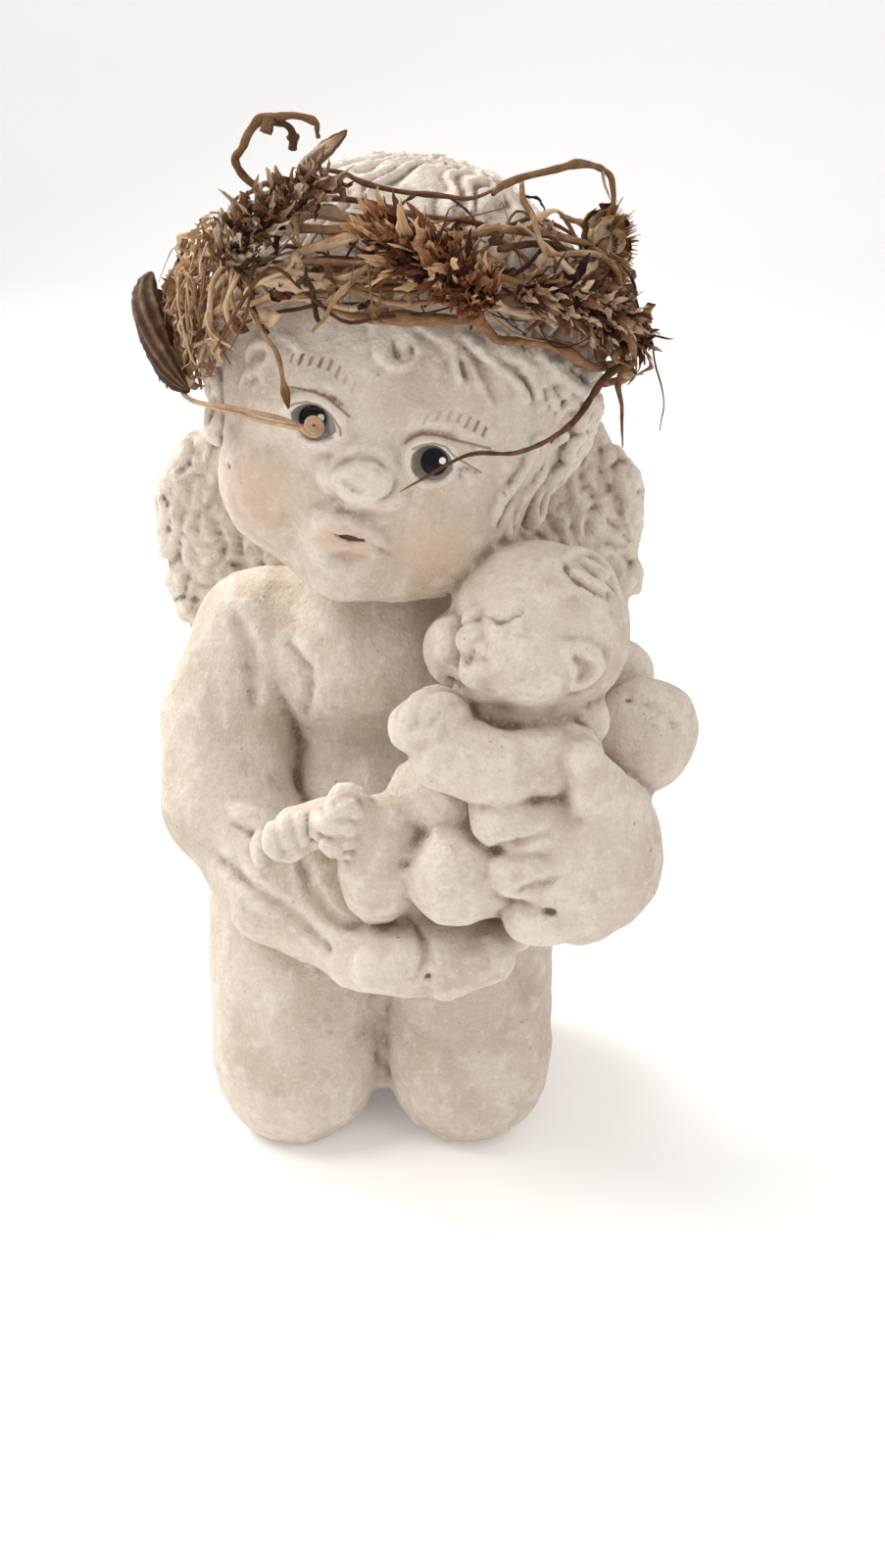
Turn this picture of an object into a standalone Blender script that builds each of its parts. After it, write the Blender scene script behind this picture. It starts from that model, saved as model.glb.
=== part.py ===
# Cherub figurine: a kneeling child angel, cast with the little one in its arms,
# that wears a wreath of dried vine, leaves and flower heads. Metres, +Z up.
# The casting looks along -Y and stands on the underside of its knees and feet.
import math

import bmesh
import bpy
from mathutils import Matrix, Vector

# Driving dimensions
HEIGHT = 0.132                # underside of the casting to the top of its hair
VINE = 0.0024                 # thickness of the woven vine
TWIG = 0.0010                 # thickness of a loose stem
WREATH_HEIGHT = 0.0150        # how tall the woven band is at its sides
WREATH_DEPTH = 0.0042         # how thick the woven band is from hair to outside
HEADROOM = 0.0004             # air between the hair and the band
GAP = 0.0003                  # air between two pieces that touch
FLOWER = 0.0062               # thickness of a dried flower head
BRACT = 0.0034                # length of the bracts that stand out of a flower head
POD = 0.0052                  # thickness of the curled leaf and of the seed head

# The figure keeps its pose and carving as shares of its height: one unit is 1/132 of it
UNIT = HEIGHT / 132

# How finely the casting is worked, in units, and how many triangles each piece keeps
ROUGH_CELL = 1.1
FINE_CELL = 0.75
CASTING_FACES = 6900
FLOWER_FACES = 210
WREATH_FACES = 1850
FINE_WORK_PULL = 1.6e-3         # how strongly faces are kept where the carving is fine

HAIR_RISE = 1.3               # units that a lock stands out of the skull
UNDERSIDE = 0.0               # height of the flat underside
VINE_COUNT = 4
VINE_POINTS = 60
GOLDEN_TURN = math.radians(137.5)


def placed(origin, roll=0.0, yaw=0.0, pitch=0.0):
    """A place in the figure, in units: tipped by pitch, leaned by roll, turned by yaw."""
    turn = Matrix.Rotation(math.radians(yaw), 4, "Z")
    turn = turn @ Matrix.Rotation(math.radians(roll), 4, "Y")
    turn = turn @ Matrix.Rotation(math.radians(pitch), 4, "X")
    return Matrix.Translation(Vector(origin)) @ turn


FIGURE = Matrix.Identity(4)
HEAD = placed((2.2, -1.0, 105.3), roll=15.5, yaw=1)
CHILD_HEAD = placed((18.9, -22.0, 77.3), roll=-3, yaw=-43, pitch=-24)

# The skull under the hair, in the head's own place
SKULL_CENTRE = Vector((0, 1, 3))
SKULL_RADII = Vector((24.8, 24.6, 22.8))
CROWN = Vector((0.05, 0.45, 0.89)).normalized()
EYE_SPREAD = 7.0
EYE_LEVEL = -4.9

# The wreath's own axis, in units: it sits higher over the brow than behind
WREATH_CENTRE = Vector((2.0, -0.5, 113.5))
WREATH_TILT = math.radians(12)
WREATH_UP = Vector((0, math.sin(WREATH_TILT), math.cos(WREATH_TILT)))
WREATH_FRONT = Vector((0, -math.cos(WREATH_TILT), math.sin(WREATH_TILT)))
WREATH_SIDE = Vector((1, 0, 0))


# Scene, materials and objects

def clear_scene():
    for item in list(bpy.data.objects):
        bpy.data.objects.remove(item, do_unlink=True)


def collection(name):
    group = bpy.data.collections.new(name)
    bpy.context.scene.collection.children.link(group)
    return group


def material(name, colour, roughness):
    made = bpy.data.materials.new(name)
    made.use_nodes = True
    shader = made.node_tree.nodes["Principled BSDF"]
    shader.inputs["Base Color"].default_value = (*colour, 1.0)
    shader.inputs["Roughness"].default_value = roughness
    shader.inputs["Metallic"].default_value = 0.0
    return made


def new_object(name, data, group, finish=None):
    made = bpy.data.objects.new(name, data)
    group.objects.link(made)
    if finish is not None:
        data.materials.append(finish)
    return made


def evaluated_mesh(source, name):
    """The mesh that an object's modifiers give, as a mesh of its own."""
    depsgraph = bpy.context.evaluated_depsgraph_get()
    return bpy.data.meshes.new_from_object(source.evaluated_get(depsgraph), depsgraph=depsgraph)


# Lumps of clay: balls and tapered limbs, in units

def add_ball(clay, place, centre, radii, turn=(0, 0, 0), detail=3):
    shape = place @ Matrix.Translation(Vector(centre))
    for angle, axis in zip(turn, "XYZ"):
        if angle:
            shape = shape @ Matrix.Rotation(math.radians(angle), 4, axis)
    size = Matrix.Diagonal((radii[0], radii[1], radii[2], 1.0))
    scale = Matrix.Scale(UNIT, 4)
    bmesh.ops.create_icosphere(clay, subdivisions=detail, radius=1.0, matrix=scale @ shape @ size)


def add_limb(clay, place, points, sides=12):
    """A rounded limb through points (x, y, z, radius)."""
    scale = Matrix.Scale(UNIT, 4)
    for x, y, z, radius in points:
        centre = scale @ place @ Matrix.Translation((x, y, z))
        bmesh.ops.create_icosphere(clay, subdivisions=2, radius=radius, matrix=centre)
    for start, end in zip(points, points[1:]):
        a = Vector(start[:3])
        b = Vector(end[:3])
        along = b - a
        if along.length < 0.01:
            continue
        turn = along.to_track_quat("Z", "Y").to_matrix().to_4x4()
        middle = scale @ place @ Matrix.Translation((a + b) / 2) @ turn
        bmesh.ops.create_cone(clay, cap_ends=True, segments=sides, radius1=start[3],
                              radius2=end[3], depth=along.length, matrix=middle)


def mirrored(points, side, middle=0.0):
    return [(middle + side * x, y, z, radius) for x, y, z, radius in points]


# Masses of the casting

def add_body(clay):
    add_ball(clay, FIGURE, (-1, 2, 66), (18, 14.5, 17))
    add_ball(clay, FIGURE, (-2, -5, 69), (13.5, 11, 11))
    add_ball(clay, FIGURE, (0, 1, 46), (19, 16.5, 17))
    add_limb(clay, FIGURE, [(0, 0, 74, 11), (1, -1, 88, 10)])
    add_ball(clay, FIGURE, (-15.5, -1, 71.5), (10, 9.5, 8.6))
    add_ball(clay, FIGURE, (20, 1, 71), (10.5, 9.5, 9))
    for side in (-1, 1):
        add_ball(clay, FIGURE, (side * 9.5, 13, 27), (13.5, 14, 15))


def add_legs(clay):
    for side, x in ((-1, -13.4), (1, 11.0)):
        add_limb(clay, FIGURE, [(x, -11.6, 15, 12.4), (x * 0.98, -6.5, 33, 13.2)], 20)
        add_ball(clay, FIGURE, (x + side * 0.3, -13, 10.2), (12.0, 11.6, 12.4))
        add_limb(clay, FIGURE, [(x, -8, 8, 9.5), (x * 0.9, 16, 7.5, 8.5), (x * 0.85, 27, 6.5, 6)])
        add_limb(clay, FIGURE, [(x * 0.88, 26, 6.8, 6.2), (x * 0.9, 32, 6.2, 5.6)])
        add_ball(clay, FIGURE, (x * 0.92, 32, 5.6), (6.6, 6.4, 5.6))


def add_arms(clay):
    # the arm that passes under the little one
    add_limb(clay, FIGURE, [(-17.5, -1, 71, 9.0), (-21.5, -3.5, 60, 9.8), (-21.8, -8.5, 49.5, 9.6)], 18)
    add_limb(clay, FIGURE, [(-21.5, -9, 49, 9.2), (-13.5, -18.5, 41, 8.0), (-3, -26, 37, 5.8)], 18)
    add_ball(clay, FIGURE, (4, -28.0, 36.0), (12, 5.8, 5.2), (0, -6, -6))
    # the arm that holds it from the side, and the back of its hand
    add_limb(clay, FIGURE, [(22, 1, 71, 9.3), (28.5, 1, 60, 9), (29.5, -3, 52, 8.4)], 18)
    add_limb(clay, FIGURE, [(28.8, -4, 51, 8.2), (27, -18, 49.5, 8.5)], 18)
    add_ball(clay, FIGURE, (24.8, -24.5, 50), (10.8, 9.6, 11.2), (0, 10, 10))


WING_MIDDLE = 1.5
# lobes of the wing at +X: centre, radii, lean and turn
WING_LOBES = (
    ((12, 15.5, 76), (12, 5.5, 12), -18, 12),
    ((26.5, 18, 84), (9.5, 4.6, 10.5), 14, 6),
    ((27, 18, 75.5), (7.6, 4.2, 10.5), -8, 6),
    ((22.5, 17.5, 91), (7, 4.2, 6), 20, 0),
)


def add_wings(clay):
    for side in (-1, 1):
        for centre, radii, lean, turn in WING_LOBES:
            middle = (WING_MIDDLE + side * centre[0], centre[1], centre[2])
            add_ball(clay, FIGURE, middle, radii, (0, side * lean, side * turn))


def add_head(clay):
    add_ball(clay, HEAD, SKULL_CENTRE, SKULL_RADII, detail=4)
    add_ball(clay, HEAD, (0, -6, -7), (20.0, 18.6, 17.5))
    for side in (-1, 1):
        add_ball(clay, HEAD, (side * 9.6, -12.4, -14.6), (9.0, 9.2, 8.6))
    add_ball(clay, HEAD, (0, -16.8, -21.6), (5.6, 4.6, 3.8))


def add_sockets(clay):
    for side in (-1, 1):
        add_ball(clay, HEAD, (side * EYE_SPREAD, -24.6, EYE_LEVEL), (4.4, 2.6, 3.0))


# Carving of the casting

def add_face(clay):
    add_ball(clay, HEAD, (0, -20.0, -17.2), (5.0, 3.6, 4.0))
    add_ball(clay, HEAD, (0, -25.0, -9.6), (3.4, 3.0, 2.8))
    add_limb(clay, HEAD, [(0, -23.2, -4.0, 2.0), (0, -24.2, -8.0, 2.4)])
    # lips
    add_ball(clay, HEAD, (0, -23.2, -15.8), (3.2, 1.7, 1.0))
    add_ball(clay, HEAD, (0, -22.6, -19.4), (2.8, 1.6, 1.2))
    for side in (-1, 1):
        add_ball(clay, HEAD, (side * 2.8, -23.2, -10.2), (1.7, 1.9, 1.6))
        # eyeball, upper lid and lower lid
        add_ball(clay, HEAD, (side * EYE_SPREAD, -19.9, EYE_LEVEL), (3.7, 3.5, 3.2))
        lid = [(4.0, -23.2, -5.4, 0.8), (7.0, -24.3, -2.4, 1.0), (10.6, -21.6, -4.4, 0.8)]
        add_limb(clay, HEAD, mirrored(lid, side), 8)
        lid = [(4.2, -22.9, -5.8, 0.7), (7.0, -23.4, -7.5, 0.9), (10.2, -21.5, -5.8, 0.7)]
        add_limb(clay, HEAD, mirrored(lid, side), 8)
        # ear
        add_ball(clay, HEAD, (side * 20.8, -7.5, -10.2), (2.6, 2.8, 4.8), (0, 0, side * 20))


def add_mouth(clay):
    slit = [(-2.8, -24.4, -17.7, 0.6), (0, -25.0, -17.5, 0.9), (2.8, -24.4, -17.7, 0.6)]
    add_limb(clay, HEAD, slit, 8)


def on_skull(direction, sink=0.0):
    """A point of the skull's surface in a direction from its centre, sunk by some units."""
    d = Vector(direction).normalized()
    scaled = Vector(d[i] / SKULL_RADII[i] for i in range(3))
    return SKULL_CENTRE + d * (1 / scaled.length - sink)


def bare_of_hair(point):
    """The face, from brow to chin, where no lock lies."""
    return point.y < -6 and point.z < 11.5


def add_hair(clay):
    """Rows of flat wavy locks that fan out from the crown down the skull."""
    across = CROWN.cross(Vector((0, 1, 0))).normalized()
    ahead = across.cross(CROWN)
    rows = ((12, 5), (34, 9), (56, 13), (78, 15), (100, 13))
    for row, (slope, count) in enumerate(rows):
        for k in range(count):
            turn = 2 * math.pi * (k + 0.5 * (row % 2)) / count
            lock = []
            for step in range(4):
                fall = math.radians(slope + 8.0 * step)
                bend = turn + 0.14 * math.sin(1.9 * step + row + k)
                sideways = across * math.cos(bend) + ahead * math.sin(bend)
                radius = 2.6 - 0.6 * step
                sink = radius - HAIR_RISE + 0.15 * step
                place = on_skull(CROWN * math.cos(fall) + sideways * math.sin(fall), sink)
                lock.append((*place, radius))
            if any(bare_of_hair(Vector(p[:3])) or p[2] < -15 for p in lock):
                continue
            add_limb(clay, HEAD, lock, 8)


def wing_surface(x, z, face):
    """How far back, or forward with face -1, the lobes of a wing reach at x and z."""
    reach = 0.0
    middle = WING_LOBES[0][0][1]
    for centre, radii, _lean, _turn in WING_LOBES:
        inside = 1 - ((x - centre[0]) / radii[0]) ** 2 - ((z - centre[2]) / radii[2]) ** 2
        if inside > 0:
            reach = max(reach, face * (centre[1] - middle) + radii[1] * math.sqrt(inside))
    return middle + face * reach


def add_feathers(clay):
    """Curling ridges that run out and down over both faces of each wing."""
    for side in (-1, 1):
        for face in (-1, 1):
            for k in range(8):
                spread = k / 7
                top = Vector((32 - 18 * spread, 0, 94 - 5 * spread))
                foot = Vector((34 - 20 * spread, 0, 68 - 2 * spread))
                ridge = []
                for step in range(6):
                    t = step / 5
                    point = top.lerp(foot, t)
                    point.x += 1.6 * math.sin(math.pi * t) + 0.9 * math.sin(10 * t + 2 * k)
                    point.y = wing_surface(point.x, point.z, face) - 0.2 * face
                    ridge.append((*point, 1.5 - 0.4 * t))
                add_limb(clay, FIGURE, mirrored(ridge, side, WING_MIDDLE), 6)


def add_hands(clay):
    add_ball(clay, FIGURE, (1.5, -32.0, 37.4), (4.6, 4.0, 4.0))
    add_limb(clay, FIGURE, [(8, -31, 34.6, 3.2), (14.0, -31.5, 37.8, 3.2)])
    for finger in (
            [(28.6, -30, 57, 4.2), (26.0, -33.5, 61.5, 3.3), (24.2, -34.2, 65.3, 2.6)],
            [(25, -30.5, 56, 3.8), (19, -34.0, 58.4, 3.1), (15.0, -34.4, 57.6, 2.7)],
            [(26, -31.6, 49.5, 3.8), (20.6, -34.6, 51.0, 3.3), (16.2, -34.8, 49.6, 2.9)],
            [(26, -30.6, 43.5, 3.8), (21, -33.4, 44.8, 3.2), (18.2, -33.4, 44.2, 2.8)]):
        add_limb(clay, FIGURE, finger)


def add_toes(clay):
    """The toes at the back, with the big toe on the inner side of each foot."""
    for side, x in ((-1, -12.3), (1, 10.1)):
        for toe in range(5):
            size = 2.5 - 0.3 * toe
            add_ball(clay, FIGURE, (x + side * (2.6 * toe - 4.8), 38.2 - 0.8 * toe, 3.4),
                     (size, 2.6, size), detail=2)


def add_child(clay):
    add_ball(clay, FIGURE, (18, -21, 58), (11, 9.5, 15), (0, -12, 0))
    add_ball(clay, FIGURE, (9, -24, 56), (8, 6.5, 7))
    # arm and fist
    add_limb(clay, FIGURE, [(22.5, -30, 64.2, 4.4), (14.5, -33.0, 63.8, 4.7), (8.5, -32.6, 65.8, 5.0)])
    add_ball(clay, FIGURE, (6.2, -31.5, 69.0), (5.2, 4.6, 3.6), (0, -14, 0))
    add_limb(clay, FIGURE, [(3.0, -34.0, 70.0, 1.5), (5.5, -34.6, 71.4, 1.5), (8, -33.6, 71.8, 1.4)], 8)
    # thigh, knee, shin
    add_limb(clay, FIGURE, [(21, -25, 48, 6.4), (9.5, -31.5, 49.6, 6.0)])
    add_ball(clay, FIGURE, (9.0, -32.4, 49.6), (6.0, 5.8, 6.1))
    add_ball(clay, FIGURE, (-0.4, -30.0, 50.2), (4.9, 5.0, 8.4), (0, 8, 0))
    # near foot and its toes
    add_ball(clay, FIGURE, (-3.6, -31.4, 56.2), (3.4, 2.8, 4.0), (0, 8, 0))
    for toe in range(5):
        angle = math.radians(30 + 52 * toe)
        add_ball(clay, FIGURE, (-3.6 - 2.6 * math.sin(angle), -33.6, 56.2 + 3.6 * math.cos(angle)),
                 (1.5, 1.5, 1.5), detail=2)
    # far foot and its toes
    add_limb(clay, FIGURE, [(-4, -29, 55.5, 3.4), (-10.5, -28.5, 54.2, 3.0)])
    for toe in range(4):
        add_ball(clay, FIGURE, (-12.4 - 0.4 * toe, -29.8 + 0.5 * toe, 55.8 - 1.6 * toe),
                 (1.4, 1.4, 1.4), detail=2)
    # wings
    add_ball(clay, FIGURE, (34.0, -12, 59.8), (8.4, 4.4, 8.6), (0, 24, 18))
    add_ball(clay, FIGURE, (31, -4, 66.5), (6.0, 3.8, 5.0), (0, 20, 10))


def add_child_head(clay):
    add_ball(clay, CHILD_HEAD, (0, 0.6, 0.6), (11.2, 11.2, 10.8))
    add_ball(clay, CHILD_HEAD, (0, -7.4, -7.4), (3.6, 3.2, 2.8))
    add_ball(clay, CHILD_HEAD, (0, -11.2, -2.0), (2.0, 2.0, 1.7), detail=2)
    add_ball(clay, CHILD_HEAD, (0, -10.2, -5.2), (2.2, 1.8, 1.2), detail=2)
    for side in (-1, 1):
        add_ball(clay, CHILD_HEAD, (side * 5.4, -5.6, -4.2), (5.0, 5.0, 4.6))
        add_ball(clay, CHILD_HEAD, (side * 4.6, -9.0, 0.8), (2.6, 1.6, 1.4), detail=2)
        add_ball(clay, CHILD_HEAD, (side * 10.6, -2.4, -2.0), (1.7, 2.2, 3.0), (0, 0, side * 25), 2)


# Working the clay

def fuse(source, cell, strokes):
    """Melts a heap of lumps into one skin and smooths it with some strokes."""
    skin = source.modifiers.new("one skin", "REMESH")
    skin.mode = "VOXEL"
    skin.voxel_size = cell * UNIT
    soften = source.modifiers.new("soften", "SMOOTH")
    soften.factor = 0.5
    soften.iterations = strokes


def carve(source, cutter, name):
    cut = source.modifiers.new(name, "BOOLEAN")
    cut.operation = "DIFFERENCE"
    cut.object = cutter


def lump_object(name, builders, group, start=None):
    """One object of all that the builders make, on top of a start mesh if there is one."""
    heap = bmesh.new()
    if start is not None:
        heap.from_mesh(start)
    for build in builders:
        clay = bmesh.new()
        build(clay)
        lumps = bpy.data.meshes.new("lumps")
        clay.to_mesh(lumps)
        clay.free()
        heap.from_mesh(lumps)
        bpy.data.meshes.remove(lumps)
    data = bpy.data.meshes.new(name)
    heap.to_mesh(data)
    heap.free()
    return new_object(name, data, group)


def as_cutter(item):
    item.hide_render = True
    item.display_type = "WIRE"
    return item


def fine_work(point):
    """How much detail a place of the casting needs, from 0 to 1."""
    spots = ((HEAD @ Vector((0, -23, -9)), 17), (CHILD_HEAD @ Vector((0, -9, -2)), 11),
             (Vector((17, -35, 54)), 14), (Vector((-7, -32, 56)), 10), (Vector((8, -32, 37)), 9))
    nearest = max(1 - (point / UNIT - spot).length / reach for spot, reach in spots)
    return min(max(1.8 * nearest, 0.0), 1.0)


def thin_out(item, faces):
    """Fewer triangles, most of them kept where the carving is fine."""
    group = item.vertex_groups.new(name="plain")
    for vertex in item.data.vertices:
        group.add([vertex.index], 1.0 - 0.85 * fine_work(vertex.co), "REPLACE")
    thinner = item.modifiers.new("fewer faces", "DECIMATE")
    thinner.vertex_group = group.name
    thinner.vertex_group_factor = FINE_WORK_PULL
    thinner.ratio = faces / (2 * len(item.data.polygons))


def cut_flat(data, height):
    """Cuts a mesh off flat below a height and closes it there."""
    shape = bmesh.new()
    shape.from_mesh(data)
    everything = shape.verts[:] + shape.edges[:] + shape.faces[:]
    bmesh.ops.bisect_plane(shape, geom=everything, plane_co=(0, 0, height),
                           plane_no=(0, 0, 1), clear_inner=True, dist=1e-6)
    rim = [edge for edge in shape.edges if edge.is_boundary]
    bmesh.ops.holes_fill(shape, edges=rim, sides=0)
    bmesh.ops.recalc_face_normals(shape, faces=shape.faces[:])
    shape.to_mesh(data)
    shape.free()


def keep_outer_skin(data):
    """Leaves only the largest connected skin: what is shut in between crossing vines goes."""
    shape = bmesh.new()
    shape.from_mesh(data)
    left = set(shape.verts)
    skins = []
    while left:
        skin = set()
        edge_of_skin = {left.pop()}
        while edge_of_skin:
            vertex = edge_of_skin.pop()
            skin.add(vertex)
            for edge in vertex.link_edges:
                other = edge.other_vert(vertex)
                if other in left:
                    left.remove(other)
                    edge_of_skin.add(other)
        skins.append(skin)
    skins.sort(key=len)
    spare_verts = [vertex for skin in skins[:-1] for vertex in skin]
    bmesh.ops.delete(shape, geom=spare_verts, context="VERTS")
    shape.to_mesh(data)
    shape.free()


def make_casting(group, spare, finish):
    rough = lump_object("rough casting", (add_body, add_legs, add_arms, add_wings, add_head), spare)
    fuse(rough, ROUGH_CELL, 9)
    sockets = as_cutter(lump_object("eye sockets", (add_sockets,), spare))
    carve(rough, sockets, "eye sockets")

    carving = (add_face, add_hair, add_feathers, add_hands, add_toes, add_child, add_child_head)
    worked = as_cutter(lump_object("worked casting", carving, spare,
                                   evaluated_mesh(rough, "rough casting")))
    fuse(worked, FINE_CELL, 2)
    mouth = as_cutter(lump_object("mouth", (add_mouth,), spare))
    carve(worked, mouth, "mouth")
    as_cutter(rough)

    thinned = as_cutter(new_object("thinned casting", evaluated_mesh(worked, "worked"), spare))
    thin_out(thinned, CASTING_FACES)
    casting = new_object("cherub", evaluated_mesh(thinned, "cherub"), group, finish)
    casting.data.name = "cherub"
    cut_flat(casting.data, UNDERSIDE)
    casting.data.shade_smooth()
    return casting


# The wreath: everything on it is placed by a turn round its axis, a rise along it,
# and how far out it is. A turn of 0 is over the brow, and +90 degrees is at +X.

def wreath_outward(turn):
    return WREATH_FRONT * math.cos(turn) + WREATH_SIDE * math.sin(turn)


def skull_reach(turn, rise):
    """Distance from the wreath's axis to the skull, in metres, at a turn and a rise."""
    inverse = HEAD.inverted()
    start = inverse @ (WREATH_CENTRE + WREATH_UP * (rise / UNIT)) - SKULL_CENTRE
    along = inverse.to_3x3() @ wreath_outward(turn)
    p = Vector(start[i] / SKULL_RADII[i] for i in range(3))
    d = Vector(along[i] / SKULL_RADII[i] for i in range(3))
    under_root = (p @ d) ** 2 - (d @ d) * (p @ p - 1)
    if under_root <= 0:
        return 0.0
    return UNIT * (math.sqrt(under_root) - p @ d) / (d @ d)


def band_inside(turn, rise):
    widest = max(skull_reach(turn, rise + 0.5 * VINE * step) for step in (-1, 0, 1))
    return max(widest, 0.6 * SKULL_RADII.x * UNIT) + HAIR_RISE * UNIT + HEADROOM


def band_outside(turn, rise):
    return band_inside(turn, rise) + WREATH_DEPTH


def wreath_point(turn, rise, reach):
    return WREATH_CENTRE * UNIT + WREATH_UP * rise + wreath_outward(turn) * reach


def wreath_place(point):
    """Turn, rise and reach of a point, the other way round from wreath_point."""
    offset = point - WREATH_CENTRE * UNIT
    ahead = offset @ WREATH_FRONT
    aside = offset @ WREATH_SIDE
    return math.atan2(aside, ahead), offset @ WREATH_UP, math.hypot(ahead, aside)


def band_share(turn):
    """The band is a little less tall over the brow and behind than at the sides."""
    return 0.74 + 0.26 * math.sin(turn) ** 2


def poly_curve(name, points, thickness, group, finish, closed=False, sides=6, taper=None):
    """A tube through points, on a poly spline; taper gives each point's share of thickness."""
    data = bpy.data.curves.new(name, "CURVE")
    data.dimensions = "3D"
    data.bevel_depth = thickness / 2
    data.bevel_resolution = (sides - 4) // 2
    data.use_fill_caps = not closed
    spline = data.splines.new("POLY")
    spline.points.add(len(points) - 1)
    for index, point in enumerate(points):
        spline.points[index].co = (*point, 1.0)
        if taper is not None:
            spline.points[index].radius = taper[index]
    spline.use_cyclic_u = closed
    return new_object(name, data, group, finish)


def smooth_route(points, count):
    """Points at even steps on a smooth curve through the given points."""
    knots = [Vector(p) for p in points]
    knots = [2 * knots[0] - knots[1]] + knots + [2 * knots[-1] - knots[-2]]
    spans = len(knots) - 3
    route = []
    for k in range(count):
        place = spans * k / (count - 1)
        i = min(int(place), spans - 1)
        t = place - i
        a, b, c, d = knots[i:i + 4]
        route.append(0.5 * ((2 * b) + (c - a) * t + (2 * a - 5 * b + 4 * c - d) * t ** 2
                            + (3 * b - a - 3 * c + d) * t ** 3))
    return route


def curve_to_mesh(source, group, finish):
    """The same tube as a welded mesh object, in the curve's place."""
    data = evaluated_mesh(source, source.name)
    shape = bmesh.new()
    shape.from_mesh(data)
    bmesh.ops.remove_doubles(shape, verts=shape.verts[:], dist=1e-6)
    bmesh.ops.recalc_face_normals(shape, faces=shape.faces[:])
    shape.to_mesh(data)
    shape.free()
    name = source.name
    bpy.data.objects.remove(source)
    made = new_object(name, data, group)
    data.materials.clear()
    data.materials.append(finish)
    return made


def make_band(group, spare, finish):
    """Four vines that wave in and out and up and down round the head, woven into one."""
    tangle = bmesh.new()
    for k in range(VINE_COUNT):
        phase = 2 * math.pi * k / VINE_COUNT
        swell = (WREATH_DEPTH - VINE) / 2
        climb = (WREATH_HEIGHT - VINE) / 2
        points = []
        for step in range(VINE_POINTS):
            turn = 2 * math.pi * step / VINE_POINTS
            rise = climb * band_share(turn) * math.sin((3 + k % 2) * turn + phase)
            middle = band_inside(turn, rise) + WREATH_DEPTH / 2
            reach = middle + 0.45 * swell * math.cos((4 + k % 2) * turn + 1.7 * phase)
            points.append(wreath_point(turn, rise, reach))
        tube = poly_curve("vine %d" % k, points, VINE, spare, finish, closed=True)
        strand = curve_to_mesh(tube, spare, finish)
        tangle.from_mesh(strand.data)
        bpy.data.objects.remove(strand)
    data = bpy.data.meshes.new("tangle")
    tangle.to_mesh(data)
    tangle.free()
    whole = as_cutter(new_object("tangle", data, spare))
    skin = whole.modifiers.new("one skin", "REMESH")
    skin.mode = "VOXEL"
    skin.voxel_size = VINE / 6
    data = evaluated_mesh(whole, "whole weave")
    keep_outer_skin(data)
    weave = as_cutter(new_object("whole weave", data, spare))
    thinner = weave.modifiers.new("fewer faces", "DECIMATE")
    thinner.ratio = WREATH_FACES / (2 * len(data.polygons))
    data = evaluated_mesh(weave, "woven_vine_wreath")
    return new_object("woven_vine_wreath", data, group, finish)


def lay_on_band(data, outside=GAP):
    """Moves points that would be inside the band out to its outside, a gap clear of it."""
    for vertex in data.vertices:
        turn, rise, reach = wreath_place(vertex.co)
        limit = band_outside(turn, rise) + outside
        if reach < limit and abs(rise) < WREATH_HEIGHT:
            vertex.co = wreath_point(turn, rise, limit)


def make_flower(name, start, end, share, bracts, group, spare, finish):
    """A dried flower head along the band from start to end, each a turn and a rise."""
    girth = share * FLOWER
    spine = []
    for step in range(5):
        t = step / 4
        turn = math.radians(start[0] + (end[0] - start[0]) * t)
        rise = start[1] + (end[1] - start[1]) * t
        swell = girth * (0.55 + 0.45 * math.sin(math.pi * t))
        spine.append((wreath_point(turn, rise, band_outside(turn, rise) + 0.42 * swell), swell / 2))
    clay = bmesh.new()
    for point, radius in spine:
        bmesh.ops.create_icosphere(clay, subdivisions=2, radius=radius,
                                   matrix=Matrix.Translation(point))
    for (a, radius_a), (b, radius_b) in zip(spine, spine[1:]):
        turn = (b - a).to_track_quat("Z", "Y").to_matrix().to_4x4()
        bmesh.ops.create_cone(clay, cap_ends=True, segments=10, radius1=radius_a, radius2=radius_b,
                              depth=(b - a).length, matrix=Matrix.Translation((a + b) / 2) @ turn)
    for k in range(bracts):
        t = (k + 0.5) / bracts
        index = min(int(4 * t), 3)
        root = spine[index][0].lerp(spine[index + 1][0], 4 * t - index)
        along = (spine[index + 1][0] - spine[index][0]).normalized()
        outward = wreath_outward(wreath_place(root)[0])
        aside = along.cross(outward).normalized()
        swing = math.sin(GOLDEN_TURN * k) * 1.25
        lean = outward * math.cos(swing) + aside * math.sin(swing) + along * 0.5
        turn = lean.to_track_quat("Z", "Y").to_matrix().to_4x4()
        length = girth / 2 + BRACT
        middle = root + lean.normalized() * length / 2
        bmesh.ops.create_cone(clay, cap_ends=True, segments=6, radius1=girth * 0.30,
                              radius2=girth * 0.06, depth=length,
                              matrix=Matrix.Translation(middle) @ turn)
    data = bpy.data.meshes.new(name + " heap")
    clay.to_mesh(data)
    clay.free()
    heap = as_cutter(new_object(name + " heap", data, spare))
    skin = heap.modifiers.new("one skin", "REMESH")
    skin.mode = "VOXEL"
    skin.voxel_size = girth / 11
    soften = heap.modifiers.new("soften", "SMOOTH")
    soften.iterations = 1
    whole = evaluated_mesh(heap, name)
    thinned = as_cutter(new_object(name + " thinned", whole, spare))
    thinner = thinned.modifiers.new("fewer faces", "DECIMATE")
    thinner.ratio = FLOWER_FACES / (2 * len(whole.polygons))
    flower = new_object(name, evaluated_mesh(thinned, name), group, finish)
    lay_on_band(flower.data)
    return flower


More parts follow.
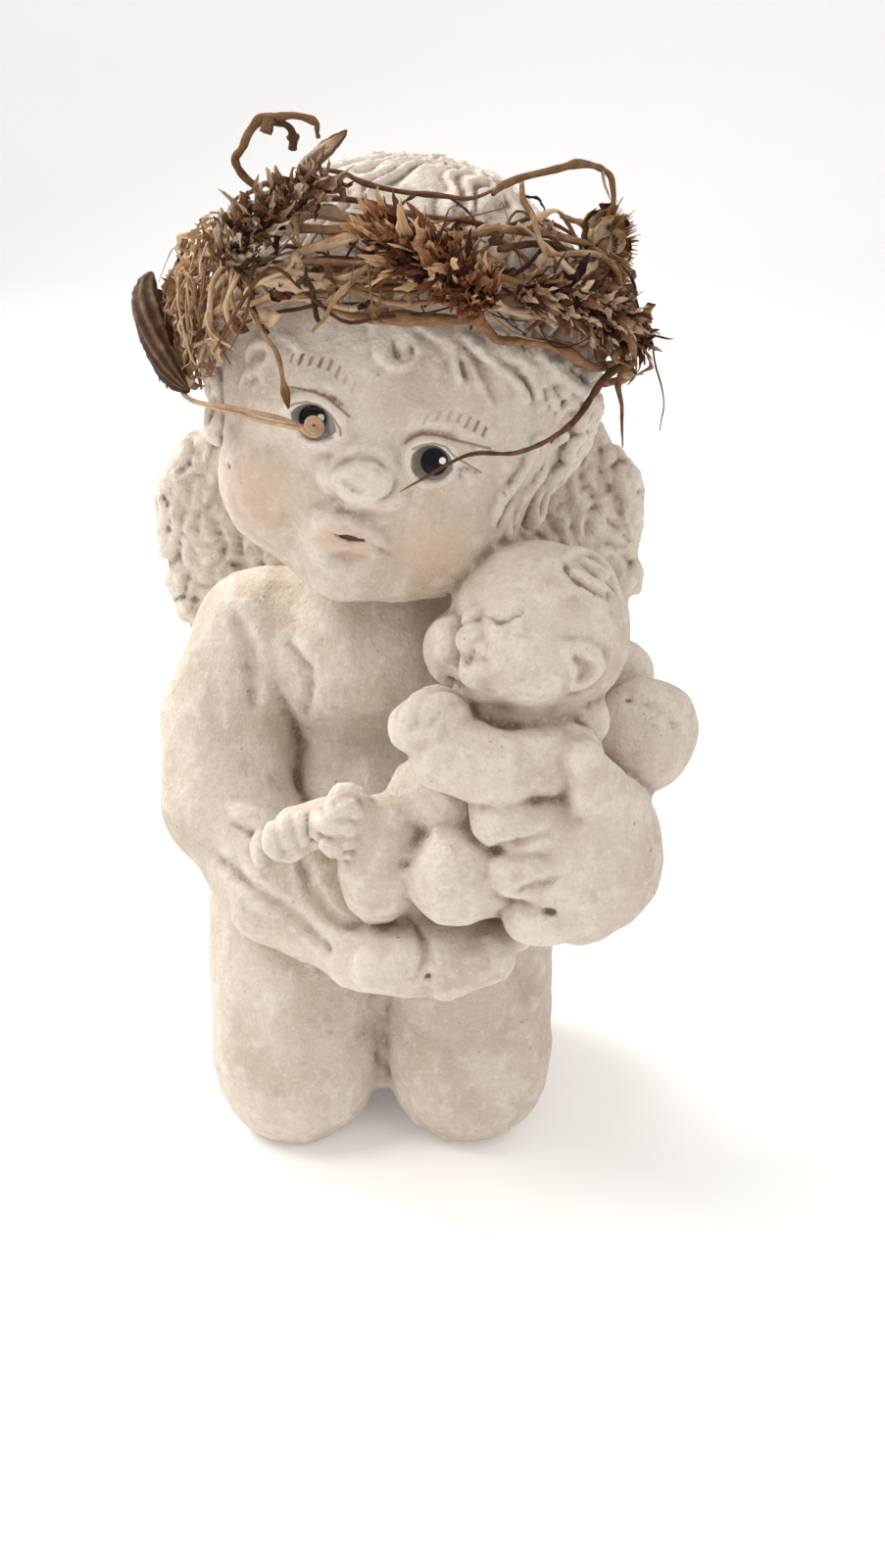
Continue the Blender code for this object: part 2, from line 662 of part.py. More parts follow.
def make_pod(name, stations, group, spare, finish, sides=8):
    """A leaf or seed pod: a fat tube along turn, rise and thickness share stations."""
    points = []
    taper = []
    for turn, rise, share in stations:
        angle = math.radians(turn)
        points.append(wreath_point(angle, rise, band_outside(angle, rise) + GAP + 0.5 * POD))
        taper.append(share)
    tube = poly_curve(name, smooth_route(points, len(points)), POD, spare, finish,
                      sides=sides, taper=taper)
    pod = curve_to_mesh(tube, group, finish)
    lay_on_band(pod.data)
    return pod


def make_stem(name, tucked, free, count, group, finish, share=1.0):
    """A loose stem: tucked gives a turn and a rise on the band, free gives places in units."""
    points = []
    for turn, rise in tucked:
        angle = math.radians(turn)
        points.append(wreath_point(angle, rise, band_outside(angle, rise) + GAP + TWIG * share))
    points += [Vector(place) * UNIT for place in free]
    return poly_curve(name, smooth_route(points, count), TWIG * share, group, finish, sides=4)


def stand_on_centre(group):
    """Moves the whole figure so that the middle of its box is over the origin."""
    bpy.context.view_layer.update()
    corners = []
    for item in group.objects:
        corners += [item.matrix_world @ Vector(corner) for corner in item.bound_box]
    middle_x = (min(c.x for c in corners) + max(c.x for c in corners)) / 2
    middle_y = (min(c.y for c in corners) + max(c.y for c in corners)) / 2
    for item in group.objects:
        item.location -= Vector((middle_x, middle_y, 0))


def main():
    clear_scene()
    group = collection("cherub figurine")
    spare = collection("clay and cutters")
    plaster = material("cast plaster", (0.66, 0.60, 0.53), 0.85)
    vine = material("dried vine", (0.24, 0.15, 0.08), 0.9)
    leaf = material("dried leaf", (0.15, 0.07, 0.03), 0.85)
    rust = material("dried flower", (0.30, 0.13, 0.06), 0.9)
    seed = material("seed head", (0.35, 0.27, 0.18), 0.9)

    make_casting(group, spare, plaster)
    make_band(group, spare, vine)
    tall = WREATH_HEIGHT
    make_flower("flower_head_front", (-1, 0.14 * tall), (19, -0.22 * tall), 1.0, 16,
                group, spare, rust)
    make_flower("flower_head_right", (28, -0.16 * tall), (62, -0.36 * tall), 0.9, 20,
                group, spare, seed)
    make_flower("flower_head_left", (-38, 0.16 * tall), (-13, 0.66 * tall), 0.9, 16,
                group, spare, seed)
    make_pod("curled_leaf", [(-78, 0.16 * tall, 0.45), (-72, -0.06 * tall, 0.95),
                             (-66, -0.28 * tall, 1.0), (-60, -0.5 * tall, 0.75),
                             (-55, -0.72 * tall, 0.3)], group, spare, leaf)
    make_pod("seed_head", [(46, 0.5 * tall, 0.35), (52, 0.44 * tall, 0.85), (60, 0.34 * tall, 1.0),
                           (68, 0.3 * tall, 1.1)], group, spare, seed)
    make_stem("vine_loop_left", [(-46, 0.5 * tall), (-45, 0.72 * tall)],
              [(-15.2, -18.4, 131.8), (-13.3, -19.0, 134.0), (-9.9, -20.8, 135.0),
               (-6.9, -20.6, 134.8)], 10, group, vine, 1.3)
    make_stem("vine_loop_right", [(26, 0.58 * tall), (33, 0.70 * tall)],
              [(19.6, -18.6, 129.2), (23.6, -14.4, 129.9), (26.6, -11.0, 129.0),
               (27.2, -12.0, 126.6)], 10, group, vine, 1.2)
    make_stem("stem_with_curl", [(-62, -0.62 * tall)],
              [(-21.6, -20.4, 104.9), (-15.6, -24.8, 104.6), (-10.4, -27.0, 103.9),
               (-6.6, -28.0, 103.4), (-5.9, -28.2, 102.2), (-7.2, -28.2, 102.0)], 12,
              group, vine)
    make_stem("stem_over_cheek", [(66, -0.52 * tall)],
              [(27.0, -15.6, 107.0), (22.4, -21.6, 102.2), (16.4, -26.6, 99.9),
               (10.6, -28.6, 99.9), (5.4, -29.6, 97.4), (2.8, -29.8, 96.0)], 12, group, vine)
    make_stem("stem_with_bud", [(-27, -0.28 * tall)],
              [(-9.9, -28.2, 110.6), (-9.6, -28.2, 106.6), (-9.0, -28.0, 105.6)], 7, group, vine)
    make_stem("tendril_right", [(84, -0.3 * tall)],
              [(34.0, -6.6, 107.6), (35.2, -7.6, 103.0), (34.8, -8.2, 99.6)], 7, group, vine, 0.8)
    stand_on_centre(group)


main()
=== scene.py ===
# Cherub figurine with a wreath of dried vine: its looks, the light and the camera.
# Lengths are in figure units, about 1 mm each, until a piece is put in place.
import math
import bpy
import numpy as np
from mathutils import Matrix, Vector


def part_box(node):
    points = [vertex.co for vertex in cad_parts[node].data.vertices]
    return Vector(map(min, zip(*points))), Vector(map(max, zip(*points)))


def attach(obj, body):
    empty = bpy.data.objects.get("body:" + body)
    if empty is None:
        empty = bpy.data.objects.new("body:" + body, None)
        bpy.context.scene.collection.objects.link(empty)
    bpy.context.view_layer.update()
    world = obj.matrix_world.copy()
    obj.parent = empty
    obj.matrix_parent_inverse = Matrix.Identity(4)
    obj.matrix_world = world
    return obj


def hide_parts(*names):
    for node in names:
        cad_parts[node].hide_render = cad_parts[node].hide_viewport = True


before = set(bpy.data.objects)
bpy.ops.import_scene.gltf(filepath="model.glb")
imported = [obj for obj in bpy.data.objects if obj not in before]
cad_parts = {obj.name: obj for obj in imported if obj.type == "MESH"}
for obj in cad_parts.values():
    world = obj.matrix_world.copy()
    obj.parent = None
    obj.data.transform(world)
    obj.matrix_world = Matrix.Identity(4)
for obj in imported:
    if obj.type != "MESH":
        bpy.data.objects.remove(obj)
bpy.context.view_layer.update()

import openvdb
from mathutils import Matrix, Vector

castLow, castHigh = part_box("cherub")
unit = (castHigh.z - castLow.z) / 132.4          # metres in one figure unit
standAt = np.array([(castLow.x + castHigh.x) / 2 - 3.62 * unit,
                    (castLow.y + castHigh.y) / 2 - 1.36 * unit, castLow.z])
rng = np.random.default_rng(7)


# Places in the figure

def turned(roll=0.0, yaw=0.0, pitch=0.0):
    m = Matrix.Rotation(math.radians(yaw), 3, "Z") @ Matrix.Rotation(math.radians(roll), 3, "Y")
    return np.array(m @ Matrix.Rotation(math.radians(pitch), 3, "X"))


headPlace = (turned(15.5, 1), np.array([2.2, -1.0, 105.3]))
facePlace = (turned(18.6, -2), np.array([2.2, -1.0, 105.3]))     # the face looks a little aside
childPlace = (turned(-3, -43, -24), np.array([18.9, -22.0, 77.3]))
viewEye = np.array([7.6, -183.91, 124.51])                       # where the camera stands
viewTurn = np.array(Matrix.Rotation(math.radians(67.5), 3, "X"))
skullCentre = np.array([0, 1, 3.0])
skullRadii = np.array([24.8, 24.6, 22.8])
crown = np.array([0.05, 0.45, 0.89])                             # where the hair starts
crown /= np.linalg.norm(crown)


def local(points, place):
    return (points - place[1]) @ place[0]


def steps(low, high, x):
    t = np.clip((x - low) / (high - low), 0, 1)
    return t * t * (3 - 2 * t)


def evenly(count):
    return np.linspace(0, 1, count)


def scatter(i, j, k, seed):
    # a fixed random share from 0 to 1 for each whole place
    n = i.astype(np.uint32) * np.uint32(73856093) ^ j.astype(np.uint32) * np.uint32(19349663)
    n = n ^ k.astype(np.uint32) * np.uint32(83492791) ^ np.uint32(seed * 7919 + 17)
    n = (n ^ (n >> np.uint32(13))) * np.uint32(1274126177)
    n = (n ^ (n >> np.uint32(15))) * np.uint32(2246822519)
    return ((n ^ (n >> np.uint32(16))) & np.uint32(65535)).astype(np.float32) / 65535


def lumps(points, size, seed):
    # smooth noise from -1 to 1 at some points
    q = (points / size).astype(np.float32)
    whole = np.floor(q).astype(np.int32)
    f = q - whole
    f = f * f * (3 - 2 * f)
    total = np.zeros(len(q), np.float32)
    for corner in range(8):
        step = [corner & 1, corner >> 1 & 1, corner >> 2 & 1]
        share = np.ones(len(q), np.float32)
        for axis in range(3):
            share *= f[:, axis] if step[axis] else 1 - f[:, axis]
        i, j, k = (whole[:, axis] + step[axis] for axis in range(3))
        total += share * scatter(i, j, k, seed)
    return 2 * total - 1


def smoothRoute(knots, count):
    # points at even steps on a smooth curve through the knots
    knots = np.asarray(knots, float)
    knots = np.vstack([2 * knots[0] - knots[1], knots, 2 * knots[-1] - knots[-2]])
    place = np.linspace(0, len(knots) - 3, count)
    i = np.minimum(place.astype(int), len(knots) - 4)
    t = (place - i)[:, None]
    a, b, c, d = (knots[i + k] for k in range(4))
    return 0.5 * (2 * b + (c - a) * t + (2 * a - 5 * b + 4 * c - d) * t ** 2
                  + (3 * b - a - 3 * c + d) * t ** 3)


# Clay: a block of distances to the surface, shaped with balls and limbs

class Clay:
    low = np.array([-42.0, -43.0, -3.0])
    high = np.array([48.0, 45.0, 137.0])
    far = 9.0               # what the field says far from the surface
    near = 2.4              # relief reaches this far to both sides of it

    def __init__(self, cell):
        self.cell = cell
        count = np.ceil((self.high - self.low) / cell).astype(int) + 1
        self.axes = [(self.low[i] + cell * np.arange(count[i])).astype(np.float32) for i in range(3)]
        self.field = np.full(count, self.far, np.float32)

    def window(self, low, high):
        a = np.maximum(((np.array(low) - self.low) / self.cell).astype(int), 0)
        b = np.minimum(((np.array(high) - self.low) / self.cell).astype(int) + 2, self.field.shape)
        part = tuple(slice(i, max(i, j)) for i, j in zip(a, b))
        x, y, z = (self.axes[i][part[i]] for i in range(3))
        return part, (x[:, None, None], y[None, :, None], z[None, None, :])

    def mix(self, part, d, soft, cut=False):
        here = self.field[part]
        if cut:
            h = np.clip(0.5 - 0.5 * (here + d) / soft, 0, 1)
            self.field[part] = here - (d + here) * h + soft * h * (1 - h)
        else:
            h = np.clip(0.5 + 0.5 * (here - d) / soft, 0, 1)
            self.field[part] = here + (d - here) * h - soft * h * (1 - h)

    def ball(self, centre, radii, turn=(0, 0, 0), soft=1.0, place=None, cut=False):
        m = np.array(Matrix.Rotation(math.radians(turn[0]), 3, "X")
                     @ Matrix.Rotation(math.radians(turn[1]), 3, "Y")
                     @ Matrix.Rotation(math.radians(turn[2]), 3, "Z"))
        c = np.array(centre, float)
        if place is not None:
            c = place[0] @ c + place[1]
            m = place[0] @ m
        r = np.array(radii, float) * np.ones(3)
        reach = np.sqrt(((m * r) ** 2).sum(1)) + soft + 1.5 * self.cell
        part, p = self.window(c - reach, c + reach)
        if not self.field[part].size:
            return
        d = [p[i] - np.float32(c[i]) for i in range(3)]
        q = [np.float32(m[0, i]) * d[0] + np.float32(m[1, i]) * d[1] + np.float32(m[2, i]) * d[2]
             for i in range(3)]
        near = np.sqrt(sum((q[i] / np.float32(r[i])) ** 2 for i in range(3)))
        slope = np.sqrt(sum((q[i] / np.float32(r[i] ** 2)) ** 2 for i in range(3)))
        self.mix(part, near * (near - 1) / np.maximum(slope, 1e-6), soft, cut)

    def limb(self, points, soft=1.0, place=None, cut=False):
        at = [np.array(p[:3], float) for p in points]
        if place is not None:
            at = [place[0] @ p + place[1] for p in at]
        for a, b, ra, rb in zip(at, at[1:], [p[3] for p in points], [p[3] for p in points[1:]]):
            reach = max(ra, rb) + soft + 1.5 * self.cell
            part, p = self.window(np.minimum(a, b) - reach, np.maximum(a, b) + reach)
            if not self.field[part].size:
                continue
            along = b - a
            t = sum((p[i] - np.float32(a[i])) * np.float32(along[i]) for i in range(3))
            t = np.clip(t / np.float32(max(along @ along, 1e-9)), 0, 1)
            d = np.sqrt(sum((p[i] - np.float32(a[i]) - t * np.float32(along[i])) ** 2 for i in range(3)))
            self.mix(part, d - (np.float32(ra) + np.float32(rb - ra) * t), soft, cut)

    def join(self, other, soft):
        self.mix(tuple(slice(0, n) for n in self.field.shape), other.field, soft)

    def work(self, low, high, relief):
        # raises the surface inside a box by what relief gives for its points
        part, _ = self.window(low, high)
        here = self.field[part]
        near = np.nonzero(np.abs(here) < self.near)
        points = np.stack([self.axes[i][part[i]][near[i]] for i in range(3)], 1)
        here[near] -= relief(points)

    def sample(self, field, points):
        # the field's value at some points, between its cells
        q = (points - self.low) / self.cell
        q = np.clip(q, 0, np.array(field.shape) - 1.001)
        whole = q.astype(int)
        f = q - whole
        total = np.zeros(len(points))
        for corner in range(8):
            step = [corner & 1, corner >> 1 & 1, corner >> 2 & 1]
            share = np.prod([f[:, a] if step[a] else 1 - f[:, a] for a in range(3)], axis=0)
            total += share * field[whole[:, 0] + step[0], whole[:, 1] + step[1], whole[:, 2] + step[2]]
        return total


def seen(c, across, up, sink=0.0):
    # the clay's surface where the camera sees it, given in hundredths of the distance to it
    go = viewTurn @ np.array([across / 100, up / 100, -1.0])
    go /= np.linalg.norm(go)
    far = np.arange(125.0, 235.0, 0.2)
    depth = c.sample(c.field, viewEye + far[:, None] * go)
    hit = int(np.argmax(depth < 0))
    back = depth[hit - 1] / max(depth[hit - 1] - depth[hit], 1e-6)
    return viewEye + go * (far[hit - 1] + 0.2 * back + sink)


def draw(c, marks, soft=0.4, sink=0.0, cut=False):
    # a line on the clay, raised or cut: each mark is across, up and the line's half width
    marks = np.array(marks)
    length = np.hypot(*np.diff(marks[:, :2], axis=0).T).sum()
    fine = smoothRoute(marks, max(int(length / 0.45), 2) + 1)
    places = [(*seen(c, u, v, sink * r), r) for u, v, r in fine]
    for a, b in zip(places, places[1:]):
        if np.linalg.norm(np.subtract(a[:3], b[:3])) < 3:
            c.limb([a, b], soft=soft, cut=cut)


def drawAll(c, table, **how):
    for marks in table:
        draw(c, marks, **how)


def softened(field, reach):
    # a block averaged over a cube of some cells each way
    for axis in range(3):
        pad = [(0, 0)] * 3
        pad[axis] = (reach + 1, reach)
        total = np.cumsum(np.pad(field, pad, mode="edge"), axis=axis, dtype=np.float32)
        count = field.shape[axis]
        upper = np.take(total, range(2 * reach + 1, 2 * reach + 1 + count), axis=axis)
        field = (upper - np.take(total, range(0, count), axis=axis)) / (2 * reach + 1)
    return field


# The casting

castingLook = {
    "cell": 0.42,            # size of a step in the clay
    "quickCell": 0.8,        # the same while trying things
    "triangles": 190000,
    "locks": 46,             # of hair, round the crown
    "hairRise": 1.35,        # how far locks stand out of the skull
    "plumeRise": 0.85,       # how far plumes stand out of the wings
    "unevenness": 0.30,      # of the whole surface, as if shaped by hand
    "pits": 90,
    "fineReach": 1.0,        # how near a hollow has its walls to hold the wash
    "broadReach": 4.4,       # the same for the painted shade of the wide sheltered places
}


def shapeBody(c):
    c.ball((-1, 2, 66), (18, 14.5, 17), soft=3)
    c.ball((-2, -5, 69), (13.5, 11, 11), soft=3)
    c.ball((0, 1, 46), (19, 16.5, 17), soft=4)
    c.limb([(0, 0, 74, 11), (1, -1, 88, 10)], soft=3)
    c.ball((-15.5, -1, 71.5), (10, 9.5, 8.6), soft=3)
    c.ball((20, 1, 71), (10.5, 9.5, 9), soft=3)
    for side in (-1, 1):
        c.ball((side * 9.5, 13, 27), (13.5, 14, 15), soft=2.5)
    c.limb([(0.2, 27.5, 22, 0.8), (0, 29.5, 30, 1), (-0.4, 27, 38, 0.6)], soft=1.6, cut=True)
    # legs and feet
    for side, x in ((-1, -13.4), (1, 11.0)):
        c.limb([(x, -11.6, 15, 12.4), (x * 0.98, -6.5, 33, 13.2)], soft=1.5)
        c.ball((x + side * 0.3, -13, 10.2), (12, 11.6, 12.4), soft=1.5)
        c.limb([(x, -8, 8, 9.5), (x * 0.9, 16, 7.5, 8.5), (x * 0.85, 27, 6.5, 6)], soft=2)
        c.limb([(x * 0.88, 26, 6.8, 6.2), (x * 0.9, 32, 6.2, 5.6)], soft=1.5)
        c.ball((x * 0.92, 32, 5.6), (6.6, 6.4, 5.6), soft=1.2)
    c.limb([(-1.2, -12, 9, 4), (-0.8, -10.8, 34, 5.6)], soft=1.5)
    for side, x in ((-1, -12.3), (1, 10.1)):
        for toe in range(5):
            size = 2.5 - 0.3 * toe
            c.ball((x + side * (2.6 * toe - 4.8), 38.2 - 0.8 * toe, 3.4), (size, 2.6, size), soft=0.4)


def shapeArms(c):
    c.limb([(-17.5, -1, 71, 9), (-21.5, -3.5, 60, 9.8), (-21.8, -8.5, 49.5, 9.6)], soft=1)
    c.limb([(-21.5, -9, 49, 9.2), (-13.5, -18.5, 41, 8), (-3, -26, 37, 5.8)], soft=1.2)
    c.ball((4, -28, 36), (12, 5.8, 5.2), turn=(0, -6, -6), soft=1.5)
    c.ball((1.2, -31.4, 37.2), (5.6, 4, 4), turn=(0, -8, 0), soft=1.6)
    c.limb([(8, -31, 34.6, 3.2), (14, -31.5, 37.8, 3.2)], soft=0.9)
    c.limb([(22, 1, 71, 9.3), (28.5, 1, 60, 9), (29.5, -3, 52, 8.4)], soft=1.6)
    c.limb([(28.8, -4, 51, 8.2), (27, -18, 49.5, 8.5)], soft=1.6)
    c.ball((24.8, -24.5, 50), (10.8, 9.6, 11.2), turn=(0, 10, 10), soft=1.6)
    c.ball((26.2, -27.4, 49.6), (9.2, 8.6, 10.6), turn=(0, 8, 10), soft=1.2)
    # creases at the armpit, the elbow and the wrist
    draw(c, [(-15.11, -2.71, 0.3), (-13.11, -3.29, 0.6), (-10.82, -3.43, 0.3)], soft=1.2, sink=-0.3,
         cut=True)
    c.ball((-16.5, -18, 50.6), (4.2, 2.4, 2), turn=(0, 24, 0), soft=1.2)
    c.limb([(-20.4, -16.8, 51.6, 0.3), (-17, -18.8, 50.8, 0.5), (-13.6, -19.4, 49.4, 0.3)],
           soft=0.9, cut=True)
    c.limb([(-26, -12.2, 65.6, 0.2), (-24, -13, 66.4, 0.3), (-22, -13.1, 66, 0.2)], soft=0.6, cut=True)


# folds and creases: across, up and half width of each mark, as the camera sees them
bodyFolds = (
    ((-11.27, 10.36, 0.2), (-10.29, 8.57, 0.4), (-9.93, 6.79, 0.3), (-10.11, 5, 0.15)),
    ((-15.29, 12.14, 0.3), (-14.39, 10.36, 0.5), (-13.86, 8.12, 0.5), (-13.72, 5.67, 0.3)),
    ((-10.15, -5.71, 0.3), (-9.39, -7.95, 0.5), (-7.92, -9.96, 0.45), (-6.27, -10.4, 0.3)),
    ((-16.18, -5.71, 0.3), (-13.5, -7.95, 0.5), (-10.38, -10.18, 0.4), (-8.37, -12.19, 0.3)),
)
handCreases = (
    ((-1.89, -10.36, 0.3), (-1.25, -11.43, 0.5), (-1.04, -12.68, 0.45), (-1.54, -13.79, 0.25)),
    ((3.75, -4.86, 0.25), (5.61, -4.43, 0.35), (7.75, -3.64, 0.25)),
    ((5.32, -8.07, 0.3), (6.68, -7.71, 0.4), (8.29, -6.96, 0.25)),
)


def shapeFingers(c):
    c.limb([(28.6, -30, 57, 4.2), (26, -33.5, 61.5, 3.3), (24.2, -34.2, 65.3, 2.6)], soft=1.2)
    c.limb([(23.2, -29.5, 53.7, 5), (18.1, -33, 56.6, 4), (14.1, -34.2, 57.6, 3.2)], soft=1.2)
    c.limb([(24.6, -29.5, 48.9, 5), (19.4, -33.4, 50.9, 3.6), (16.3, -34.4, 51.3, 2.8)], soft=1.2)
    c.limb([(24.9, -28.5, 43.1, 5), (20.6, -32.4, 44.5, 3.9), (18.5, -33.2, 44.3, 3.1)], soft=1.2)
    c.ball((24, -30, 50.6), (7.8, 8, 10.2), turn=(0, 8, 8), soft=1.8)
    c.ball((23.5, -30, 50.2), (4.8, 4.8, 6.8), soft=1.6)
    c.ball((15.1, -34.2, 58.5), (4.2, 3.2, 3), turn=(0, 6, 0), soft=0.8)
    c.ball((17, -34.6, 51.6), (4.4, 3.4, 3.2), turn=(0, -14, 0), soft=0.8)
    c.ball((19.8, -33.4, 44.3), (4.6, 4, 3.4), turn=(0, -6, 0), soft=1)
    c.ball((22, -30, 58.4), 3.2, soft=1.6)
    c.ball((14.4, -31, 52.3), 2.6, soft=1.4)
    # folds of the chest and the thighs, then creases of the hands
    drawAll(c, bodyFolds, soft=1.4, sink=-0.85, cut=True)
    drawAll(c, handCreases, soft=0.9, sink=-0.25, cut=True)


def shapeChild(c):
    c.ball((18, -21, 58), (11, 9.5, 15), turn=(0, -12, 0), soft=1.6)
    c.ball((9, -25.5, 56.5), (8.4, 6.8, 7.4), soft=2)
    c.limb([(3.4, -25.5, 52.2, 3.6), (2.9, -26.5, 47.1, 4), (2.3, -25.5, 41.7, 3.6)], soft=2)
    c.limb([(-6.1, -24.5, 40.4, 3), (1.7, -26, 38.9, 3.2), (10, -26, 38.1, 3.4),
            (17, -26, 38.6, 3.2)], soft=2.2)
    c.limb([(12.4, -27, 69.5, 3.6), (18.8, -26.5, 67.3, 4.2), (24.3, -24.5, 67, 4)], soft=2)
    c.limb([(22.5, -30, 64.2, 4.4), (14.5, -33, 63.8, 4.7), (8.5, -32.6, 65.8, 5)], soft=0.8)
    c.ball((6.2, -31.5, 69), (5.2, 4.6, 3.6), turn=(0, -14, 0), soft=0.6)
    c.limb([(21, -25, 48, 6.4), (9.5, -31, 49.6, 6)], soft=1.8)
    c.ball((9, -31.8, 49.6), (6.1, 5.8, 6.2), soft=1.4)
    c.ball((-0.2, -29.6, 50.4), (5.2, 5, 8.6), turn=(0, 8, 0), soft=1.6)
    c.ball((-3.4, -31.2, 56.2), (3.6, 2.8, 4), turn=(0, 8, 0), soft=1.2)
    c.limb([(-4, -29, 55.5, 3.4), (-10.5, -28.5, 54.2, 3)], soft=0.7)
    c.ball((-11.4, -30.2, 53.4), (2.8, 2, 3), soft=0.8)
    # wings, each with a rim
    c.ball((34, -12, 59.8), (8.4, 4.4, 8.6), turn=(0, 24, 18), soft=0.9)
    c.ball((31, -4, 66.5), (6, 3.8, 5), turn=(0, 20, 10), soft=0.9)
    c.limb([(32, -15.6, 66.8, 0.25), (36, -15.9, 65.4, 0.35), (39.6, -14.6, 60.6, 0.3)],
           soft=0.7, cut=True)
    # head, with puffed cheeks, closed eyes and an ear
    f = childPlace
    c.ball((0, 0.6, 0.6), (11.2, 11.2, 10.8), soft=1.2, place=f)
    c.ball((-5.4, -5.6, -4.2), (5, 5, 4.6), soft=1.2, place=f)
    c.ball((4.6, -5.8, -4.4), (4.8, 4.6, 4.6), soft=2.2, place=f)
    c.ball((0, -7.4, -7.4), (3.4, 3, 2.6), soft=1.6, place=f)
    c.ball((-9.8, -3.2, -3.4), (3.2, 3.4, 3.8), soft=2, place=f)


# the child: small forms by across, up, sink, size and softness, then lines
childBalls = (
    (0.43, 10.68, 1.6, 2.6, 0.8), (0.57, 9.96, 1.6, 2.3, 0.8),
    (5.04, 10.21, 3.6, 4.6, 2), (4.75, 9.43, 3.6, 4.2, 2),
    (2.35, 11.93, 0.6, 1.45, 0.3), (2.22, 10.5, 0.7, 2.15, 0.25),
    (2.86, 9.82, 0.5, 1, 0.25), (1.57, 10.04, 0.6, 0.9, 0.25),
    (1.96, 8.93, 0.7, 1.3, 0.7), (2.68, 8.86, 0.7, 1.1, 0.7),
    (2.25, 8, 1, 1.9, 1),
)
childCuts = (
    ((0.29, 12.75, 0.2), (0.9, 12.37, 0.35), (1.57, 12.32, 0.25), (1.9, 12.46, 0.12)),
    ((3.2, 12.32, 0.2), (3.96, 11.92, 0.38), (4.8, 12.01, 0.35), (5.7, 12.28, 0.25), (6.54, 11.61, 0.15)),
    ((4.8, 12.81, 0.1), (5.7, 12.63, 0.22), (6.41, 12.14, 0.12)),
    ((1.19, 9.06, 0.2), (2.01, 8.93, 0.35), (2.91, 9.02, 0.3), (3.38, 8.79, 0.15)),
    ((0.38, 7.77, 0.3), (0.96, 7.54, 0.45), (1.46, 7.01, 0.3)),
    ((1.68, 8.48, 0.12), (2.39, 8.53, 0.22), (3.02, 8.46, 0.12)),
    ((4.4, 13.75, 0.12), (4.36, 13.21, 0.12)),
    ((4.8, 13.86, 0.14), (4.78, 13.26, 0.14)),
    ((5.21, 13.84, 0.14), (5.21, 13.3, 0.14)),
    ((5.61, 13.79, 0.14), (5.65, 13.39, 0.12)),
    ((9.38, 16.83, 0.2), (9.04, 15.83, 0.35), (9.54, 15.04, 0.35), (10.61, 14.15, 0.35),
     (12.06, 13.48, 0.25)),
    ((10.05, 16.12, 0.25), (10.94, 15.38, 0.38), (11.61, 15.09, 0.3), (11.5, 15.54, 0.25),
     (10.72, 15.94, 0.2)),
    ((11.95, 14.71, 0.2), (12.39, 14.15, 0.35), (12.06, 13.75, 0.25)),
    ((9.27, 13.82, 0.15), (9.71, 13.53, 0.3), (9.85, 13.04, 0.15)),
)
# rolls of its arm and curl, each with its softness
childRolls = (
    (0.5, ((8.98, 9.73, 0.7), (9.94, 9.91, 0.85), (10.88, 9.46, 0.9), (11.14, 8.53, 0.85),
     (10.61, 7.68, 0.8), (9.71, 7.19, 0.7), (9.2, 7.41, 0.5))),
    (0.4, ((8.96, 9.69, 0.6), (9, 8.91, 0.5))),
    (0.35, ((9.27, 8.57, 0.45), (9.4, 8.01, 0.5))),
    (0.5, ((8.98, 16.12, 0.5), (9.38, 16.72, 0.6), (10.38, 16.79, 0.65), (11.5, 16.03, 0.6),
     (12.39, 14.87, 0.55), (12.88, 13.71, 0.4))),
    (0.4, ((9.71, 15.54, 0.4), (10.61, 14.82, 0.5), (11.61, 14.38, 0.4), (12.39, 13.82, 0.35))),
    (0.4, ((10.16, 16.34, 0.35), (11.17, 15.76, 0.45), (11.9, 15.27, 0.4), (11.5, 14.87, 0.3))),
    (0.5, ((-2.3, 5.28, 0.9), (-1.58, 6.06, 1), (-0.45, 6.59, 0.9), (0.41, 6.67, 0.6))),
    (0.5, ((-1.27, 4.95, 0.8), (-0.7, 5.65, 0.9), (0.27, 6.18, 0.8), (1.02, 6.18, 0.5))),
    (0.6, ((-2.6, 4.66, 0.8), (-2.09, 5.69, 0.6))),
)
toeRolls = (
    ((-13.08, -3.64, 1.1), (-13.33, -4.77, 1.2), (-13.12, -5.69, 0.9)),
    ((-12.34, -3.23, 1.1), (-12.34, -4.36, 1.25), (-11.97, -5.1, 0.9)),
    ((-11.48, -2.72, 1.1), (-11.32, -3.85, 1.2), (-10.99, -4.46, 0.9)),
    ((-10.5, -2.51, 1.1), (-10.29, -3.64, 1.2), (-10.05, -4.26, 0.9)),
    ((-7.83, -1.69, 1.1), (-7.32, -0.87, 1.25), (-6.36, -0.67, 1.2), (-5.68, -0.87, 0.8)),
    ((-7.73, -2.21, 1.1), (-6.91, -1.8, 1.25), (-6.29, -2.1, 0.9)),
    ((-9.02, -2.72, 1.2), (-8.14, -3.03, 1.3), (-6.85, -3.23, 1)),
    ((-9.16, -3.54, 1.2), (-8.24, -3.95, 1.3), (-6.91, -4.26, 1)),
    ((-8.55, -4.46, 1.1), (-7.73, -4.87, 1.3), (-6.91, -5.08, 1)),
)


def detailChild(c):
    # its face, ear, curl, hand and toes, placed as the camera sees them
    for across, up, sink, size, soft in childBalls:
        c.ball(seen(c, across, up, sink), size, soft=soft)
    drawAll(c, childCuts, soft=0.3, sink=0.4, cut=True)
    for soft, marks in childRolls:
        draw(c, marks, soft=soft, sink=0.25)
    drawAll(c, toeRolls, soft=0.3, sink=0.2)


wingLobes = (
    ((12, 15.5, 76), (12, 5.5, 12), -18, 12),
    ((26.5, 18, 84), (9.5, 4.6, 10.5), 14, 6),
    ((27, 18, 75.5), (7.6, 4.2, 10.5), -8, 6),
    ((22.5, 17.5, 91), (7, 4.2, 6), 20, 0),
)


